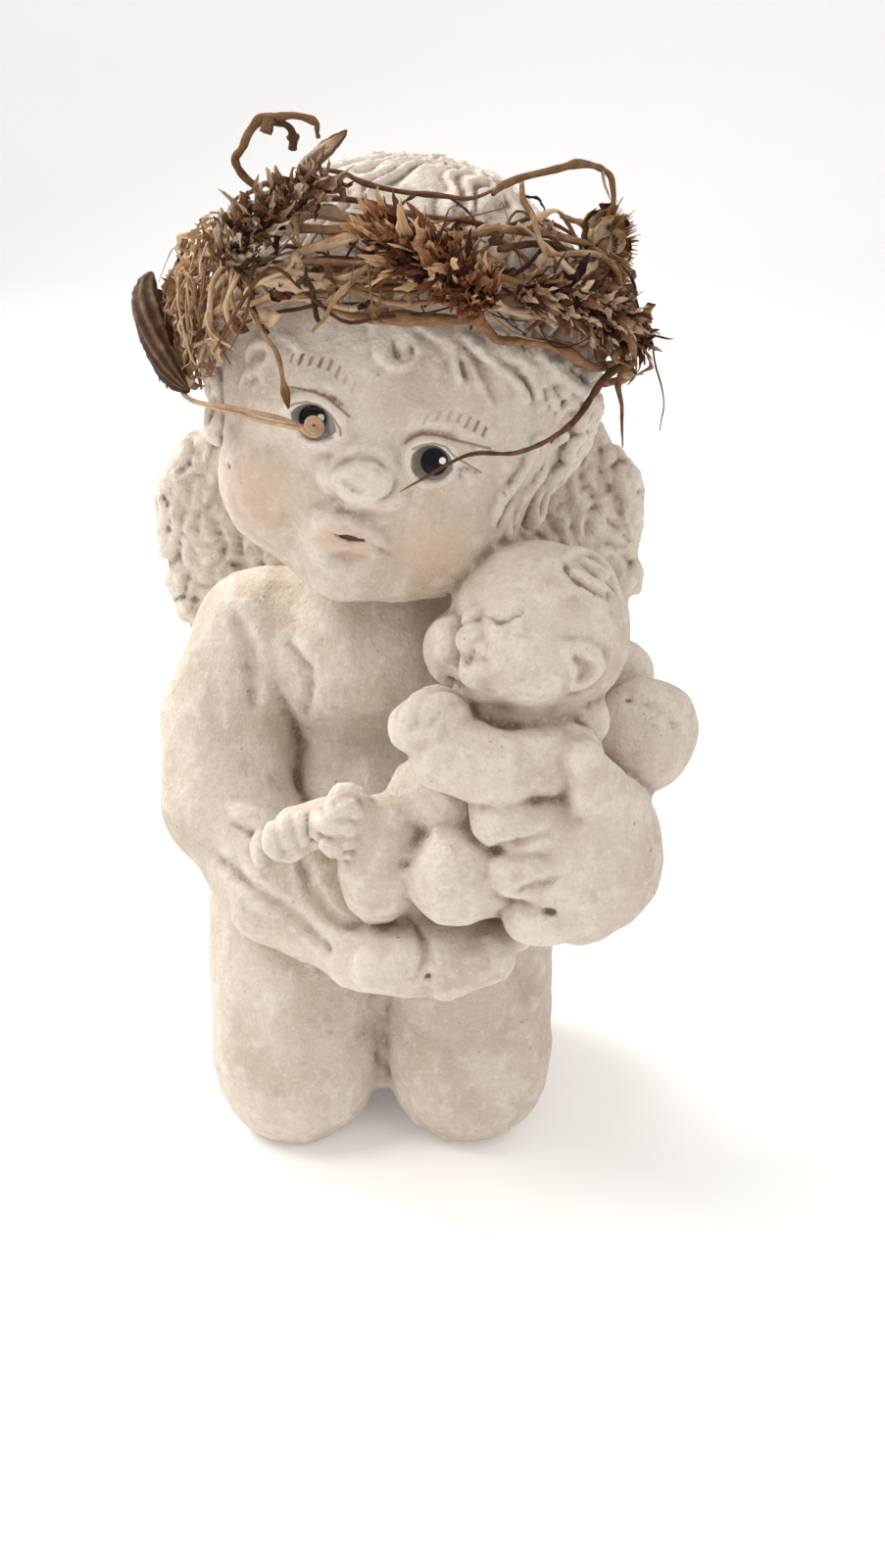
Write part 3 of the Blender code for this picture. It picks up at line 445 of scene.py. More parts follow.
def tufts(u, v, across, tall, seed, thin=0.5):
    # height of overlapping locks on a sheet: u goes sideways and v down, in units
    best = np.zeros(len(u), np.float32)
    row = np.floor(v / tall).astype(np.int32)
    for back in (0, 1):
        r = row - back
        t = v / tall - r
        jitter = scatter(r, r * 0 + seed, r * 0, seed)
        place = u / across + 7 * jitter
        col = np.floor(place).astype(np.int32)
        chance = scatter(r, col, r * 0 + 1, seed)
        t = (t + 0.28 * (chance - 0.5)) / (1.25 + 0.35 * chance)
        a = place - col - 0.5 + 0.30 * np.sin(3.4 * t + 6 * chance) * (t - 0.3)
        width = 0.52 * np.clip(1 - np.clip(t, 0, 1) ** 2.4, 0, 1) * (0.8 + 0.3 * chance)
        side = np.clip(1 - (a / np.maximum(width, 1e-3)) ** 2, 0, 1)
        rise = side ** thin * (0.45 + 0.55 * np.clip(t, 0, 1)) * (t > 0) * (t < 1)
        rise = rise - 0.13 * side * np.abs(np.sin(9.5 * a + 2 * chance))
        best = np.maximum(best, rise)
    return best


def wingRelief(points):
    x = points[:, 0] - 1.5
    side = np.sign(x)
    x = np.abs(x)
    warp = 3.0 * lumps(points, 7.0, 3) + 1.3 * lumps(points, 3.2, 4)
    other = 3.0 * lumps(points, 6.0, 5) + 1.2 * lumps(points, 3.0, 6)
    u = x + 0.4 * (points[:, 2] - 80) + warp + 60 * side
    v = (100 - points[:, 2]) + (x - 6) * 0.5 + other
    inner = steps(20, 15, x)
    lace = 0.75 * tufts(u, v, 3.2, 5.6, 11, 0.9) + 0.35 * tufts(v + 31, u, 2.4, 4.0, 13, 0.9)
    plume = tufts(u * 0.9 + 90 * side, v, 2.3, 13.0, 12, 0.7)
    rise = lace * (1 - inner) + plume * inner
    folds = 0.4 * np.abs(lumps(points, 2.8, 8)) + 0.22 * np.abs(lumps(points, 1.4, 9))
    return (castingLook["plumeRise"] * (rise - 0.4 + folds * (1 - 0.6 * inner))).astype(np.float32)


def hairline(p):
    # how far above the hairline a point of the head is
    around = np.degrees(np.arctan2(p[:, 0], -p[:, 1]))
    line = np.interp(around, [-180, -120, -95, -75, -55, -30, 0, 15, 35, 55, 72, 90, 120, 180],
                     [-18, -17, -12, -3, 6, 10, 11.5, 9.5, 5.5, 1.0, -6, -12, -17, -18])
    return p[:, 2] - line


def hairRelief(points):
    p = local(points, headPlace)
    d = (p - skullCentre) / skullRadii
    d /= np.maximum(np.linalg.norm(d, axis=1), 1e-6)[:, None]
    fall = np.arccos(np.clip(d @ crown, -1, 1))
    across = np.cross(crown, [0, 1, 0])
    across /= np.linalg.norm(across)
    ahead = np.cross(across, crown)
    turn = np.arctan2(d @ across, -(d @ ahead))
    bend = 1.6 * lumps(points, 8.0, 21) + 0.6 * lumps(points, 3.5, 24)
    v = 24 * fall + 1.6 * lumps(points, 5.0, 22)
    u = 20 * turn + bend + 1.3 * np.sin(0.42 * v + 2 * bend)
    lock = 0.8 * tufts(u, v, 20 * 2 * math.pi / castingLook["locks"], 12.0, 23, 0.7)
    lock += 0.30 * np.abs(np.sin(1.9 * u + 0.8 * bend))
    edge = steps(-1.5, 2.5, hairline(p))
    return (castingLook["hairRise"] * (lock - 0.25) * edge).astype(np.float32)


def shapeHead(c):
    f = headPlace
    c.ball(skullCentre, skullRadii, soft=3, place=f)
    c.ball((0, -6, -7), (20, 18.6, 17.5), soft=3, place=f)
    for side in (-1, 1):
        c.ball((side * 9.6, -12.4, -14.6), (9, 9.2, 8.6), soft=3, place=f)
    c.ball((0, -14.6, -20.6), (9.5, 6, 5), soft=3.5, place=f)
    c.ball((0, -17.6, -21.4), (4.6, 3.6, 3.4), soft=3, place=facePlace)
    c.ball((0, -20, -17), (5, 3.4, 4), soft=2.4, place=facePlace)


def place(c, x, z):
    # a point on the face, from its own measures across and up
    at = np.array([[x, -y, z] for y in np.arange(12.0, 32.0, 0.1)]) @ facePlace[0].T + facePlace[1]
    return at[int(np.nonzero(c.sample(c.field, at) < 0)[0][-1])]


eyeLevel = -5.05        # height of both eyes on the face
eyeCorners = ((-7.7, ((-3.6, 0.9), (3.4, -1.2))), (7, ((-2.7, 0.3), (3.9, -0.5))))
# the face: softness, sink and the marks of each line
faceCuts = (
    (0.2, 0.4, ((-9.27, 18.47, 0.22), (-8.53, 18.44, 0.36), (-7.7, 18.26, 0.46), (-6.8, 17.9, 0.5),
     (-5.78, 17.6, 0.36))),
    (0.6, -0.2, ((-5.78, 17.69, 0.3), (-4.84, 17.24, 0.25), (-3.94, 16.73, 0.15))),
    (1.6, -0.3, ((-8, 16.43, 0.5), (-6.95, 16.1, 0.8), (-5.9, 16.16, 0.5))),
    (0.9, -0.72, ((-7.92, 23.32, 0.2), (-7.33, 23.74, 0.3), (-6.45, 23.95, 0.34), (-5.4, 23.91, 0.34),
     (-4.46, 23.57, 0.3), (-3.93, 23.07, 0.2))),
    (0.4, -0.28, ((-7.46, 22.39, 0.2), (-7.04, 21.76, 0.34), (-6.41, 21.26, 0.36), (-5.72, 20.97, 0.2))),
    (0.6, -0.42, ((-3.38, 22.61, 0.15), (-3.26, 21.76, 0.3), (-3.64, 20.92, 0.2))),
    (0.6, -0.2, ((-4.77, 20.52, 0.2), (-4.17, 20.67, 0.38), (-3.72, 21.06, 0.2))),
)
lids = (
    ((-2.53, 23.2, 0.25), (-2.5, 24.1, 0.38), (-1.96, 24.73, 0.48), (-1.01, 25, 0.52), (0, 24.76, 0.5),
     (0.81, 24.04, 0.45), (1.41, 23.2, 0.25)),
    ((-2.44, 22.97, 0.2), (-1.87, 22.17, 0.26), (-1.01, 21.75, 0.28), (0, 21.9, 0.26),
     (0.72, 22.56, 0.2)),
    ((-11.61, 27.14, 0.25), (-10.77, 27.77, 0.42), (-9.51, 27.92, 0.52), (-8.3, 27.56, 0.52),
     (-7.43, 26.71, 0.45), (-6.8, 25.63, 0.25)),
    ((-10.77, 25.68, 0.2), (-9.96, 24.94, 0.26), (-9.05, 24.64, 0.28), (-7.93, 24.94, 0.26),
     (-6.95, 25.54, 0.2)),
)
lidCreases = (
    ((-2.86, 24.61, 0.15), (-2.14, 25.38, 0.26), (-1.08, 25.66, 0.32), (0.12, 25.48, 0.32),
     (1.47, 24.97, 0.3), (2.64, 24.52, 0.26), (3.73, 24.1, 0.15)),
    ((1.02, 22.95, 0.2), (1.92, 22.92, 0.35), (2.98, 22.38, 0.2)),
    ((-11.97, 28.34, 0.15), (-10.86, 28.67, 0.28), (-9.51, 28.64, 0.32), (-8.36, 28.31, 0.32),
     (-7.31, 27.62, 0.28), (-6.59, 26.86, 0.15)),
)


def shapeFace(c):
    f = facePlace
    # nose, with a fold above its ball
    c.limb([(0, -21.8, -3, 1.2), (0, -22.6, -7, 1.8)], soft=2.2, place=f)
    c.ball((0.1, -24.5, -8.9), (4.1, 3.3, 3.3), soft=1.8, place=f)
    for side in (-1, 1):
        c.ball((side * 3.5, -23.2, -10), (1.7, 2.2, 1.7), soft=1.2, place=f)
    # lips and chin
    c.ball((-1.5, -22.7, -15.5), (2.6, 1.8, 1.3), turn=(0, -12, 0), soft=1.2, place=f)
    c.ball((1.7, -22.7, -15.5), (2.6, 1.8, 1.3), turn=(0, 12, 0), soft=1.2, place=f)
    c.ball((0.5, -22.4, -18.3), (2.4, 1.6, 1.1), soft=0.9, place=f)
    for soft, sink, marks in faceCuts:
        draw(c, marks, soft=soft, sink=sink, cut=True)
    # eyes: a shallow opening, the ball in it, a thin lid and the crease above
    for x, corners in eyeCorners:
        middle = place(c, x, eyeLevel)
        c.ball(middle, (2.6, 1.1, 2.3), turn=(0, 18.6, 0), soft=0.3, cut=True)
        for dx, dz in corners:
            c.limb([(*middle, 1.2), (*place(c, x + dx, eyeLevel + dz), 0.3)], soft=0.3, cut=True)
        c.ball(middle + np.array([0, 3.35, -0.3]), (4.2, 3, 4), soft=0.15)
    drawAll(c, lids, soft=0.35, sink=0.15)
    drawAll(c, lidCreases, soft=0.35, sink=-0.1, cut=True)
    for side in (-1, 1):
        # ear with its fold
        c.ball((side * 20.4, -7.6, -9.6), (2, 2.4, 3.6), turn=(0, 0, side * 20), soft=0.5, place=headPlace)
        c.ball((side * 22, -9.2, -9.2), (0.9, 1.2, 2.2), turn=(0, 0, side * 20), soft=0.4,
               place=headPlace, cut=True)


def onSkull(around, level, sink=0.0):
    # a point of the skull, at an angle round it from the brow and a share of its height
    a = math.radians(around)
    flat = math.sqrt(max(1 - level * level, 0))
    d = np.array([math.sin(a) * flat, -math.cos(a) * flat, level])
    return skullCentre + d * skullRadii * (1 - sink / 24.0)


# curls of the brow and before the ears, and the grooves between them
curls = (
    ((-4.62, 32.14, 0.3), (-4.47, 31.17, 0.5), (-3.64, 30.49, 0.55), (-2.59, 30.49, 0.5),
     (-1.91, 31.17, 0.4), (-1.76, 32.07, 0.3)),
    ((-14.17, 30.86, 0.4), (-13.72, 31.92, 0.5), (-12.81, 32.14, 0.5), (-12.44, 31.32, 0.4),
     (-12.96, 30.49, 0.35), (-13.57, 30.71, 0.3)),
    ((-14.62, 29.21, 0.4), (-14.02, 29.96, 0.5), (-13.11, 29.96, 0.45), (-12.96, 29.21, 0.35),
     (-13.57, 28.76, 0.3)),
    ((-11.91, 32.67, 0.4), (-10.86, 32.22, 0.5), (-10.11, 31.32, 0.3)),
    ((7.04, 25.15, 0.7), (6.28, 23.95, 0.8), (5.23, 22.14, 0.8), (4.18, 20.79, 0.7), (3.58, 19.14, 0.5)),
    ((7.64, 23.05, 0.7), (6.73, 21.84, 0.8), (5.68, 20.64, 0.7), (5.08, 19.14, 0.6), (4.63, 17.93, 0.4)),
    ((7.64, 20.64, 0.6), (6.73, 19.59, 0.7), (5.98, 18.38, 0.6), (4.78, 17.48, 0.5), (3.73, 17.18, 0.3)),
)
curlGrooves = (
    ((5.16, 20.79, 0.3), (4.4, 19.74, 0.6), (3.95, 18.53, 0.3)),
    ((5.91, 20.49, 0.3), (5.46, 19.44, 0.55), (5.23, 18.31, 0.3)),
    ((6.73, 24.55, 0.2), (5.83, 23.05, 0.4), (4.78, 21.69, 0.3)),
)


def shapeLocks(c):
    # strands that sweep over the brow to the ear, and curls beside the ears
    for k in range(19):
        x, y = 366 + 12.5 * k, 318 + 3.2 * k + 6 * math.sin(2.1 * k)
        lean, long = 62 - 1.3 * k + 5 * math.sin(1.3 * k), 52 + 2.6 * k + 10 * math.sin(2.9 * k)
        marks, groove = [], []
        for step in range(6):
            s = step / 5
            size = 0.66 - 0.4 * s
            bow = 5 * math.sin(math.pi * s) + 2 * math.sin(5 * s + k)
            across = (x + long * s * math.cos(math.radians(lean)) + bow - 451.5) / 14
            up = (800 - y - long * s * math.sin(math.radians(lean)) + bow * 0.7) / 14
            marks.append((across, up, size))
            groove.append((across + 0.42, up + 0.16, 0.34 - 0.18 * s))
        draw(c, marks, soft=0.6, sink=0.35)
        draw(c, groove, soft=0.4, sink=-0.2, cut=True)
    drawAll(c, curls, soft=0.5, sink=0.3)
    drawAll(c, curlGrooves, soft=0.5, sink=-0.2, cut=True)
    for side in (-1, 1):
        for k in range(16):
            around = side * (64 + 9 * (k % 4) + 3 * (k // 4))
            level = -0.02 - 0.17 * (k // 4) + 0.03 * math.sin(3 * k)
            curl = []
            for step in range(7):
                t = step / 6
                bend = 2.0 * math.pi * t + 1.7 * k
                size = 1 - 0.6 * t
                at = onSkull(around + side * 5.0 * size * math.cos(bend),
                             level + 0.085 * size * math.sin(bend), -0.4 - 0.5 * t)
                curl.append((*at, 1.25 - 0.45 * t))
            c.limb(curl, soft=0.3, place=headPlace)


def unevenness(points):
    amount = castingLook["unevenness"]
    ridges = 0.28 - np.abs(lumps(points * (1, 1, 0.6), 4.6, 34))
    ridges *= np.clip((86 - points[:, 2]) / 6, 0, 1)    # the faces stay smooth
    return amount * (1.1 * ridges + lumps(points, 6.5, 31) + 0.55 * lumps(points, 2.6, 32)
                     + 0.3 * lumps(points, 1.1, 33))


# each chip: its place and its radii
chips = (
    ((20.4, -37, 46.8), (1, 0.9, 0.55)), ((7.4, -24.6, 15.1), (0.8, 0.8, 0.5)),
    ((22.3, -35.6, 67.4), (0.6, 0.9, 0.5)), ((22.1, -37, 58.6), (0.9, 0.8, 0.8)),
    ((3.6, -35.6, 39.2), (0.5, 0.5, 0.5)), ((17.8, -34.6, 63.9), (0.5, 0.6, 0.4)),
    ((-24.8, -12.6, 65), (0.7, 0.6, 0.35)), ((13.2, -24.4, 22), (0.5, 0.6, 0.4)),
    ((-12, -24.9, 24), (0.45, 0.5, 0.35)),
)


def nicks(c):
    # the chips and pits that the old casting shows
    for at, radii in chips:
        c.ball(at, radii, soft=0.35, cut=True)
    spots = rng.uniform([-34, -38, 2], [40, 38, 100], (1400, 3))
    depth = c.sample(c.field, spots)
    pits = castingLook["pits"]
    for spot, size in zip(spots[np.abs(depth) < 0.5][:pits], rng.uniform(0.25, 0.5, pits)):
        c.ball(spot, size, soft=0.3, cut=True)


def placed(name, data):
    made = bpy.data.objects.new(name, data)
    bpy.context.scene.collection.objects.link(made)
    return made


def meshFrom(points, faces, name):
    # a triangle mesh in the figure's place, with its outside outward
    points = points * unit + standAt
    a, b, c = (points[faces[:, i]] for i in range(3))
    if np.einsum("ij,ij->i", a, np.cross(b, c)).sum() < 0:
        faces = faces[:, ::-1]
    data = bpy.data.meshes.new(name)
    data.from_pydata(points.tolist(), [], faces.tolist())
    data.update()
    return data


def addValues(data, name, values, kind="FLOAT"):
    made = data.attributes.new(name, kind, "POINT")
    made.data.foreach_set("value" if kind == "FLOAT" else "vector", np.ravel(values).astype(np.float32))


def makeCasting(finish):
    cell = castingLook["cell"]
    clay = Clay(cell)
    shapeBody(clay)
    wings = Clay(cell)
    for side in (-1, 1):
        for centre, radii, lean, turn in wingLobes:
            wings.ball((1.5 + side * centre[0], *centre[1:]), radii, (0, side * lean, side * turn),
                       soft=2.5)
        for k in range(10):
            edge = math.radians(-78 + 19 * k)
            size = 2.3 + 0.6 * math.sin(2.3 * k + side)
            at = (1.5 + side * (25.2 + 8.4 * math.cos(edge)), 18 + math.sin(1.9 * k),
                  80 + 15.4 * math.sin(edge))
            wings.ball(at, (size, 3.4, size), soft=1)
    wings.work((-38, 6, 58), (42, 28, 100), wingRelief)
    clay.join(wings, 2.0)
    shapeArms(clay)
    shapeChild(clay)
    shapeFingers(clay)
    detailChild(clay)
    print("casting: body, wings, arms and child shaped")
    head = Clay(cell)
    shapeHead(head)
    head.work((-30, -30, 78), (34, 30, 136), hairRelief)
    shapeLocks(head)
    shapeFace(head)
    clay.join(head, 1.2)
    nicks(clay)
    clay.work(clay.low, clay.high, unevenness)
    clay.field = np.maximum(clay.field, -clay.axes[2][None, None, :])
    print("casting: head shaped")

    grid = openvdb.FloatGrid(clay.far)
    grid.copyFromArray(clay.field)
    points, quads = grid.convertToQuads(0.0)
    points = np.asarray(points) * cell + clay.low
    points[:, 2] = np.maximum(points[:, 2], 0)
    data = meshFrom(points, np.asarray(quads), "casting")
    rough = placed("casting", data)
    thinner = rough.modifiers.new("fewer faces", "DECIMATE")
    thinner.ratio = min(1.0, castingLook["triangles"] / (2 * len(data.polygons)))
    view = bpy.context.evaluated_depsgraph_get()
    data = bpy.data.meshes.new_from_object(rough.evaluated_get(view), depsgraph=view)
    bpy.data.objects.remove(rough)
    print("casting: %d faces" % len(data.polygons))

    places = np.empty(3 * len(data.vertices), np.float32)
    data.vertices.foreach_get("co", places)
    places = (places.reshape(-1, 3) - standAt) / unit
    solid = np.clip(0.5 - clay.field / (2 * cell), 0, 1).astype(np.float32)
    fine = clay.sample(softened(solid, round(castingLook["fineReach"] / cell)), places)
    # how enclosed each point is at a wide reach, which sets where the plaster gets painted shade
    broad = clay.sample(softened(solid, round(castingLook["broadReach"] / cell)), places)
    addValues(data, "hollow", fine - 0.5)
    addValues(data, "broadShade", broad - 0.5)
    data.name = "casting"
    data.materials.clear()
    data.materials.append(finish)
    data.shade_smooth()
    made = placed("casting", data)
    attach(made, "root")
    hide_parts("cherub")


# Finishes, made of nodes

class Finish:
    def __init__(self, name):
        self.made = bpy.data.materials.new(name)
        self.made.use_nodes = True
        self.tree = self.made.node_tree
        self.shader = self.tree.nodes["Principled BSDF"]

    def plug(self, socket, value):
        if isinstance(value, bpy.types.NodeSocket):
            self.tree.links.new(value, socket)
        else:
            socket.default_value = value

    def node(self, kind, inputs=(), output=0, **settings):
        made = self.tree.nodes.new(kind)
        for key, value in settings.items():
            setattr(made, key, value)
        for key, value in dict(inputs).items():
            self.plug(made.inputs[key], value)
        return made.outputs[output]

    def sum(self, operation, a, b=0.0, c=0.0):
        return self.node("ShaderNodeMath", {0: a, 1: b, 2: c}, operation=operation)

    def plus(self, a, b):
        return self.sum("ADD", a, b)

    def minus(self, a, b):
        return self.sum("SUBTRACT", a, b)

    def times(self, a, b):
        return self.sum("MULTIPLY", a, b)

    def swing(self, value, size):
        # a value about 0.5, moved to lie about 0
        return self.times(self.minus(value, 0.5), size)

    def blend(self, share, a, b):
        made = self.tree.nodes.new("ShaderNodeMix")
        made.data_type = "RGBA"
        self.plug(made.inputs[0], share)
        for socket, value in ((made.inputs[6], a), (made.inputs[7], b)):
            self.plug(socket, (*value, 1.0) if isinstance(value, tuple) and len(value) == 3 else value)
        return made.outputs[2]

    def spread(self, value, low, high, start=0.0, end=1.0):
        return self.node("ShaderNodeMapRange", {0: value, 1: low, 2: high, 3: start, 4: end},
                         interpolation_type="SMOOTHSTEP")

    def noise(self, where, scale, detail=3.0, rough=0.5):
        return self.node("ShaderNodeTexNoise", {"Vector": where, "Scale": scale, "Detail": detail,
                                                "Roughness": rough})

    def stored(self, name, output=2):
        return self.node("ShaderNodeAttribute", output=output, attribute_name=name)


def colour(red, green, blue):
    # a screen colour from 0 to 255 as the shader wants it
    return tuple(((v / 255 + 0.055) / 1.055) ** 2.4 if v > 10 else v / 3294.6 for v in (red, green, blue))


plasterLook = {
    "light": colour(218, 206, 192),
    "wornAndHighlight": colour(232, 224, 213),      # on what stands out: partly wear, partly painted highlight
    "tint": colour(199, 183, 166),      # warmer clouds over the whole, and the warm painted shade of the sheltered places
    "washAndShade": colour(112, 94, 76),        # what stays in the hollows, and the colour of the painted shade
    "blush": colour(200, 162, 136),
    # the painted shadow in the gap between the lips
    "mouth": colour(58, 34, 26),
    "iris": colour(82, 80, 80),
    "irisRim": colour(126, 120, 114),
    "pupil": colour(13, 11, 11),
    "sparkle": colour(232, 234, 236),
    # the paint of the brows, also the colour of the painted shadow along the lids
    "brow": colour(136, 104, 76),
    "roughness": 0.82,
    "mottle": 0.50,                     # shares of the marks on the plaster
    "brushed": 0.28,
    "shade": 0.32,
    "specks": 0.5,
    "cheeks": 0.40,
}


def headCoordinates(f, where, place):
    # coordinates of the shaded point in a place of the figure, in units
    m = Matrix.Translation(Vector(standAt / unit)) @ Matrix.Translation(Vector(place[1]))
    m = (m @ Matrix(place[0].tolist()).to_4x4()).inverted()
    mapped = f.node("ShaderNodeMapping", {"Vector": where, "Scale": (1 / unit,) * 3,
                                          "Rotation": m.to_euler("XYZ"), "Location": m.translation})
    split = f.tree.nodes.new("ShaderNodeSeparateXYZ")
    f.plug(split.inputs[0], mapped)
    return split.outputs


def away(f, x, z, cx, cz, sx=1.0, sz=1.0):
    # distance from a centre, seen from the front, stretched sideways and upwards
    dx = f.sum("DIVIDE", f.minus(x, cx), sx)
    dz = f.sum("DIVIDE", f.minus(z, cz), sz)
    return f.sum("SQRT", f.plus(f.times(dx, dx), f.times(dz, dz)))


def alongLine(f, x, z, knots):
    # distance from a bent line, seen from the front
    near = None
    for (ax, az), (bx, bz) in zip(knots, knots[1:]):
        ux, uz = bx - ax, bz - az
        span = ux * ux + uz * uz
        px, pz = f.minus(x, ax), f.minus(z, az)
        t = f.plus(f.times(px, ux / span), f.times(pz, uz / span))
        t = f.sum("MINIMUM", f.sum("MAXIMUM", t, 0.0), 1.0)
        dx = f.minus(px, f.times(t, ux))
        dz = f.minus(pz, f.times(t, uz))
        d = f.sum("SQRT", f.plus(f.times(dx, dx), f.times(dz, dz)))
        near = d if near is None else f.sum("MINIMUM", near, d)
    return near


# painted shadow along the folds and creases of the lids: half the width, how dark, and the line in face units
lidShadowLines = (
    (0.11, 0.75, ((3.39, -3.71), (3.92, -2.96), (4.86, -2.26), (6.68, -1.89), (8.45, -1.87),
     (10.19, -1.78), (12.84, -1.74))),
    (0.09, 0.7, ((4.4, -4.08), (5.23, -3.38), (6.46, -2.82), (7.87, -2.77), (9.19, -3.53),
     (10.97, -4.1), (12.74, -4.61))),
    (0.08, 0.35, ((5.35, -6.35), (6.43, -6.94), (8.04, -6.97), (9.17, -6.13))),
    (0.11, 0.75, ((-11.89, -2.91), (-10.39, -2.34), (-8.39, -1.95), (-6.62, -1.92), (-4.97, -2.43),
     (-3.52, -2.93))),
    (0.1, 0.7, ((-10.54, -4.52), (-9.87, -3.87), (-8.66, -3.25), (-7.14, -3.02), (-5.58, -3.45),
     (-4.14, -4.56), (-3.81, -5.23))),
    (0.08, 0.35, ((-4.59, -5.85), (-5.56, -6.67), (-6.83, -7.1), (-8.1, -7.03))),
)
# each eye: its middle, how far aside and how high the arcs of its opening lie, and their radius
eyeOpenings = ((-7.7, 0.45, 1.1, 3.05), (7, 0.05, 0.55, 2.52))


def plaster():
    f = Finish("cast plaster")
    look = plasterLook
    where = f.node("ShaderNodeTexCoord", output=3)
    hollow = f.stored("hollow")
    broadShade = f.stored("broadShade")
    cloud = f.noise(where, 90.0, 4.0, 0.55)
    grain = f.noise(where, 2600.0, 2.0, 0.6)
    patch = f.noise(where, 420.0, 3.0, 0.6)
    tone = f.blend(f.spread(cloud, 0.38, 0.68), look["light"], look["tint"])
    # painted shade: the wide sheltered places turn warmer
    tone = f.blend(f.spread(broadShade, 0.05, 0.34), tone, look["tint"])
    deep = f.spread(f.plus(hollow, f.swing(patch, 0.07)), 0.0, 0.17)
    tone = f.blend(f.times(deep, 0.85), tone, look["washAndShade"])
    # lighter on what stands out: partly wear of the plaster, partly painted highlight
    wornAndHighlight = f.plus(hollow, f.swing(f.noise(where, 260.0, 4.0, 0.65), 0.16))
    tone = f.blend(f.spread(wornAndHighlight, -0.01, -0.07, 0.0, 0.55), tone, look["wornAndHighlight"])
    mottle = f.noise(where, 1100.0, 3.0, 0.7)
    tone = f.blend(f.spread(mottle, 0.50, 0.70, 0.0, look["mottle"]), tone, look["tint"])
    tone = f.blend(f.spread(mottle, 0.46, 0.30, 0.0, 0.45), tone, look["wornAndHighlight"])
    brushed = f.noise(where, 240.0, 5.0, 0.7)
    tone = f.blend(f.spread(brushed, 0.56, 0.76, 0.0, look["brushed"]), tone, look["washAndShade"])
    # painted shade: the wide sheltered places darken towards the wash colour
    shade = f.spread(f.plus(broadShade, f.swing(cloud, 0.12)), 0.12, 0.42, 0.0, look["shade"])
    tone = f.blend(shade, tone, look["washAndShade"])
    speck = f.spread(f.noise(where, 900.0, 1.0, 0.4), 0.76, 0.80, 0.0, look["specks"])
    tone = f.blend(speck, tone, look["washAndShade"])
    tone = f.blend(f.spread(grain, 0.3, 0.7, 0.0, 0.10), tone, look["washAndShade"])

    x, y, z = headCoordinates(f, where, facePlace)
    front = f.spread(y, -17.5, -19.5)
    for side in (-1, 1):
        cheek = f.spread(away(f, x, z, side * 10.5 - 0.5, -15.2, 1.15, 1.0), 9.0, 0.5, 0.0, look["cheeks"])
        tone = f.blend(f.times(cheek, front), tone, look["blush"])
    lip = f.spread(away(f, x, z, 0.0, -17.2, 1.9, 1.25), 2.3, 1.3, 0.0, 0.45)
    tone = f.blend(f.times(lip, front), tone, look["blush"])
    # painted shadow in the gap between the lips, darkest where the cut is deepest
    gap = f.times(f.spread(hollow, 0.04, 0.13, 0.0, 0.8),
                  f.times(front, f.spread(away(f, x, z, 0.8, -16.9, 2.4, 1.5), 1.2, 0.8)))
    tone = f.blend(gap, tone, look["mouth"])

    # brows: short slanting strokes along an arc
    for side in (-1, 1):
        s = f.times(f.minus(x, 0.5 if side < 0 else 0.0), side)
        arc = f.times(f.sum("POWER", f.sum("ABSOLUTE", f.minus(s, 8.6)), 2.0), -0.07)
        across = f.sum("ABSOLUTE", f.minus(f.minus(z, 1.3 if side < 0 else 0.5), arc))
        band = f.spread(f.plus(across, f.swing(patch, 1.5)), 0.72, 0.52)
        ends = f.times(f.spread(s, 3.6, 4.0), f.spread(s, 12.6, 12.2))
        slant = f.minus(x, f.times(z, 0.12))
        stripe = f.sum("PINGPONG", f.plus(slant, 50.0), 0.56)
        stripe = f.spread(stripe, 0.26, 0.16)
        stroke = f.times(f.times(band, ends), f.times(stripe, front))
        faint = f.times(f.spread(f.noise(where, 330.0, 1.0, 0.5), 0.36, 0.60, 0.55, 1.0),
                        f.spread(s, 5.0, 10.5, 0.45, 1.0))
        tone = f.blend(f.times(stroke, faint), tone, look["brow"])

    # eyes: a dark pupil in a grey ring, with a light painted on
    gloss = 0.0
    for middle, shift, half, wide in eyeOpenings:
        ring = away(f, x, z, middle, eyeLevel)
        # painted highlight on the roll of the upper lid
        lidHighlight = f.times(f.spread(ring, 3.4, 2.6, 0.0, 0.45), f.times(front, f.spread(z, -6.5, -4.5)))
        tone = f.blend(lidHighlight, tone, look["wornAndHighlight"])
        almond = f.sum("MAXIMUM", away(f, x, z, middle + shift, eyeLevel + half),
                       away(f, x, z, middle + shift, eyeLevel - half))
        opening = f.times(f.spread(almond, wide + 0.08, wide - 0.10), f.spread(y, -19.0, -19.5))
        # the grey ring is the eye's own paint, darker towards the top as painted shade under the upper lid
        grey = f.blend(f.spread(f.plus(ring, f.times(z, -0.25)), 2.4, 3.9), look["iris"], look["irisRim"])
        tone = f.blend(f.times(opening, 0.95), tone, grey)
        pupil = f.times(f.spread(away(f, x, z, middle + 0.2, -4.85), 1.68, 1.48), opening)
        tone = f.blend(pupil, tone, look["pupil"])
        light = f.spread(away(f, x, z, middle + 1.05, -4.45), 0.45, 0.33)
        tone = f.blend(light, tone, look["sparkle"])
        gloss = f.plus(gloss, opening)
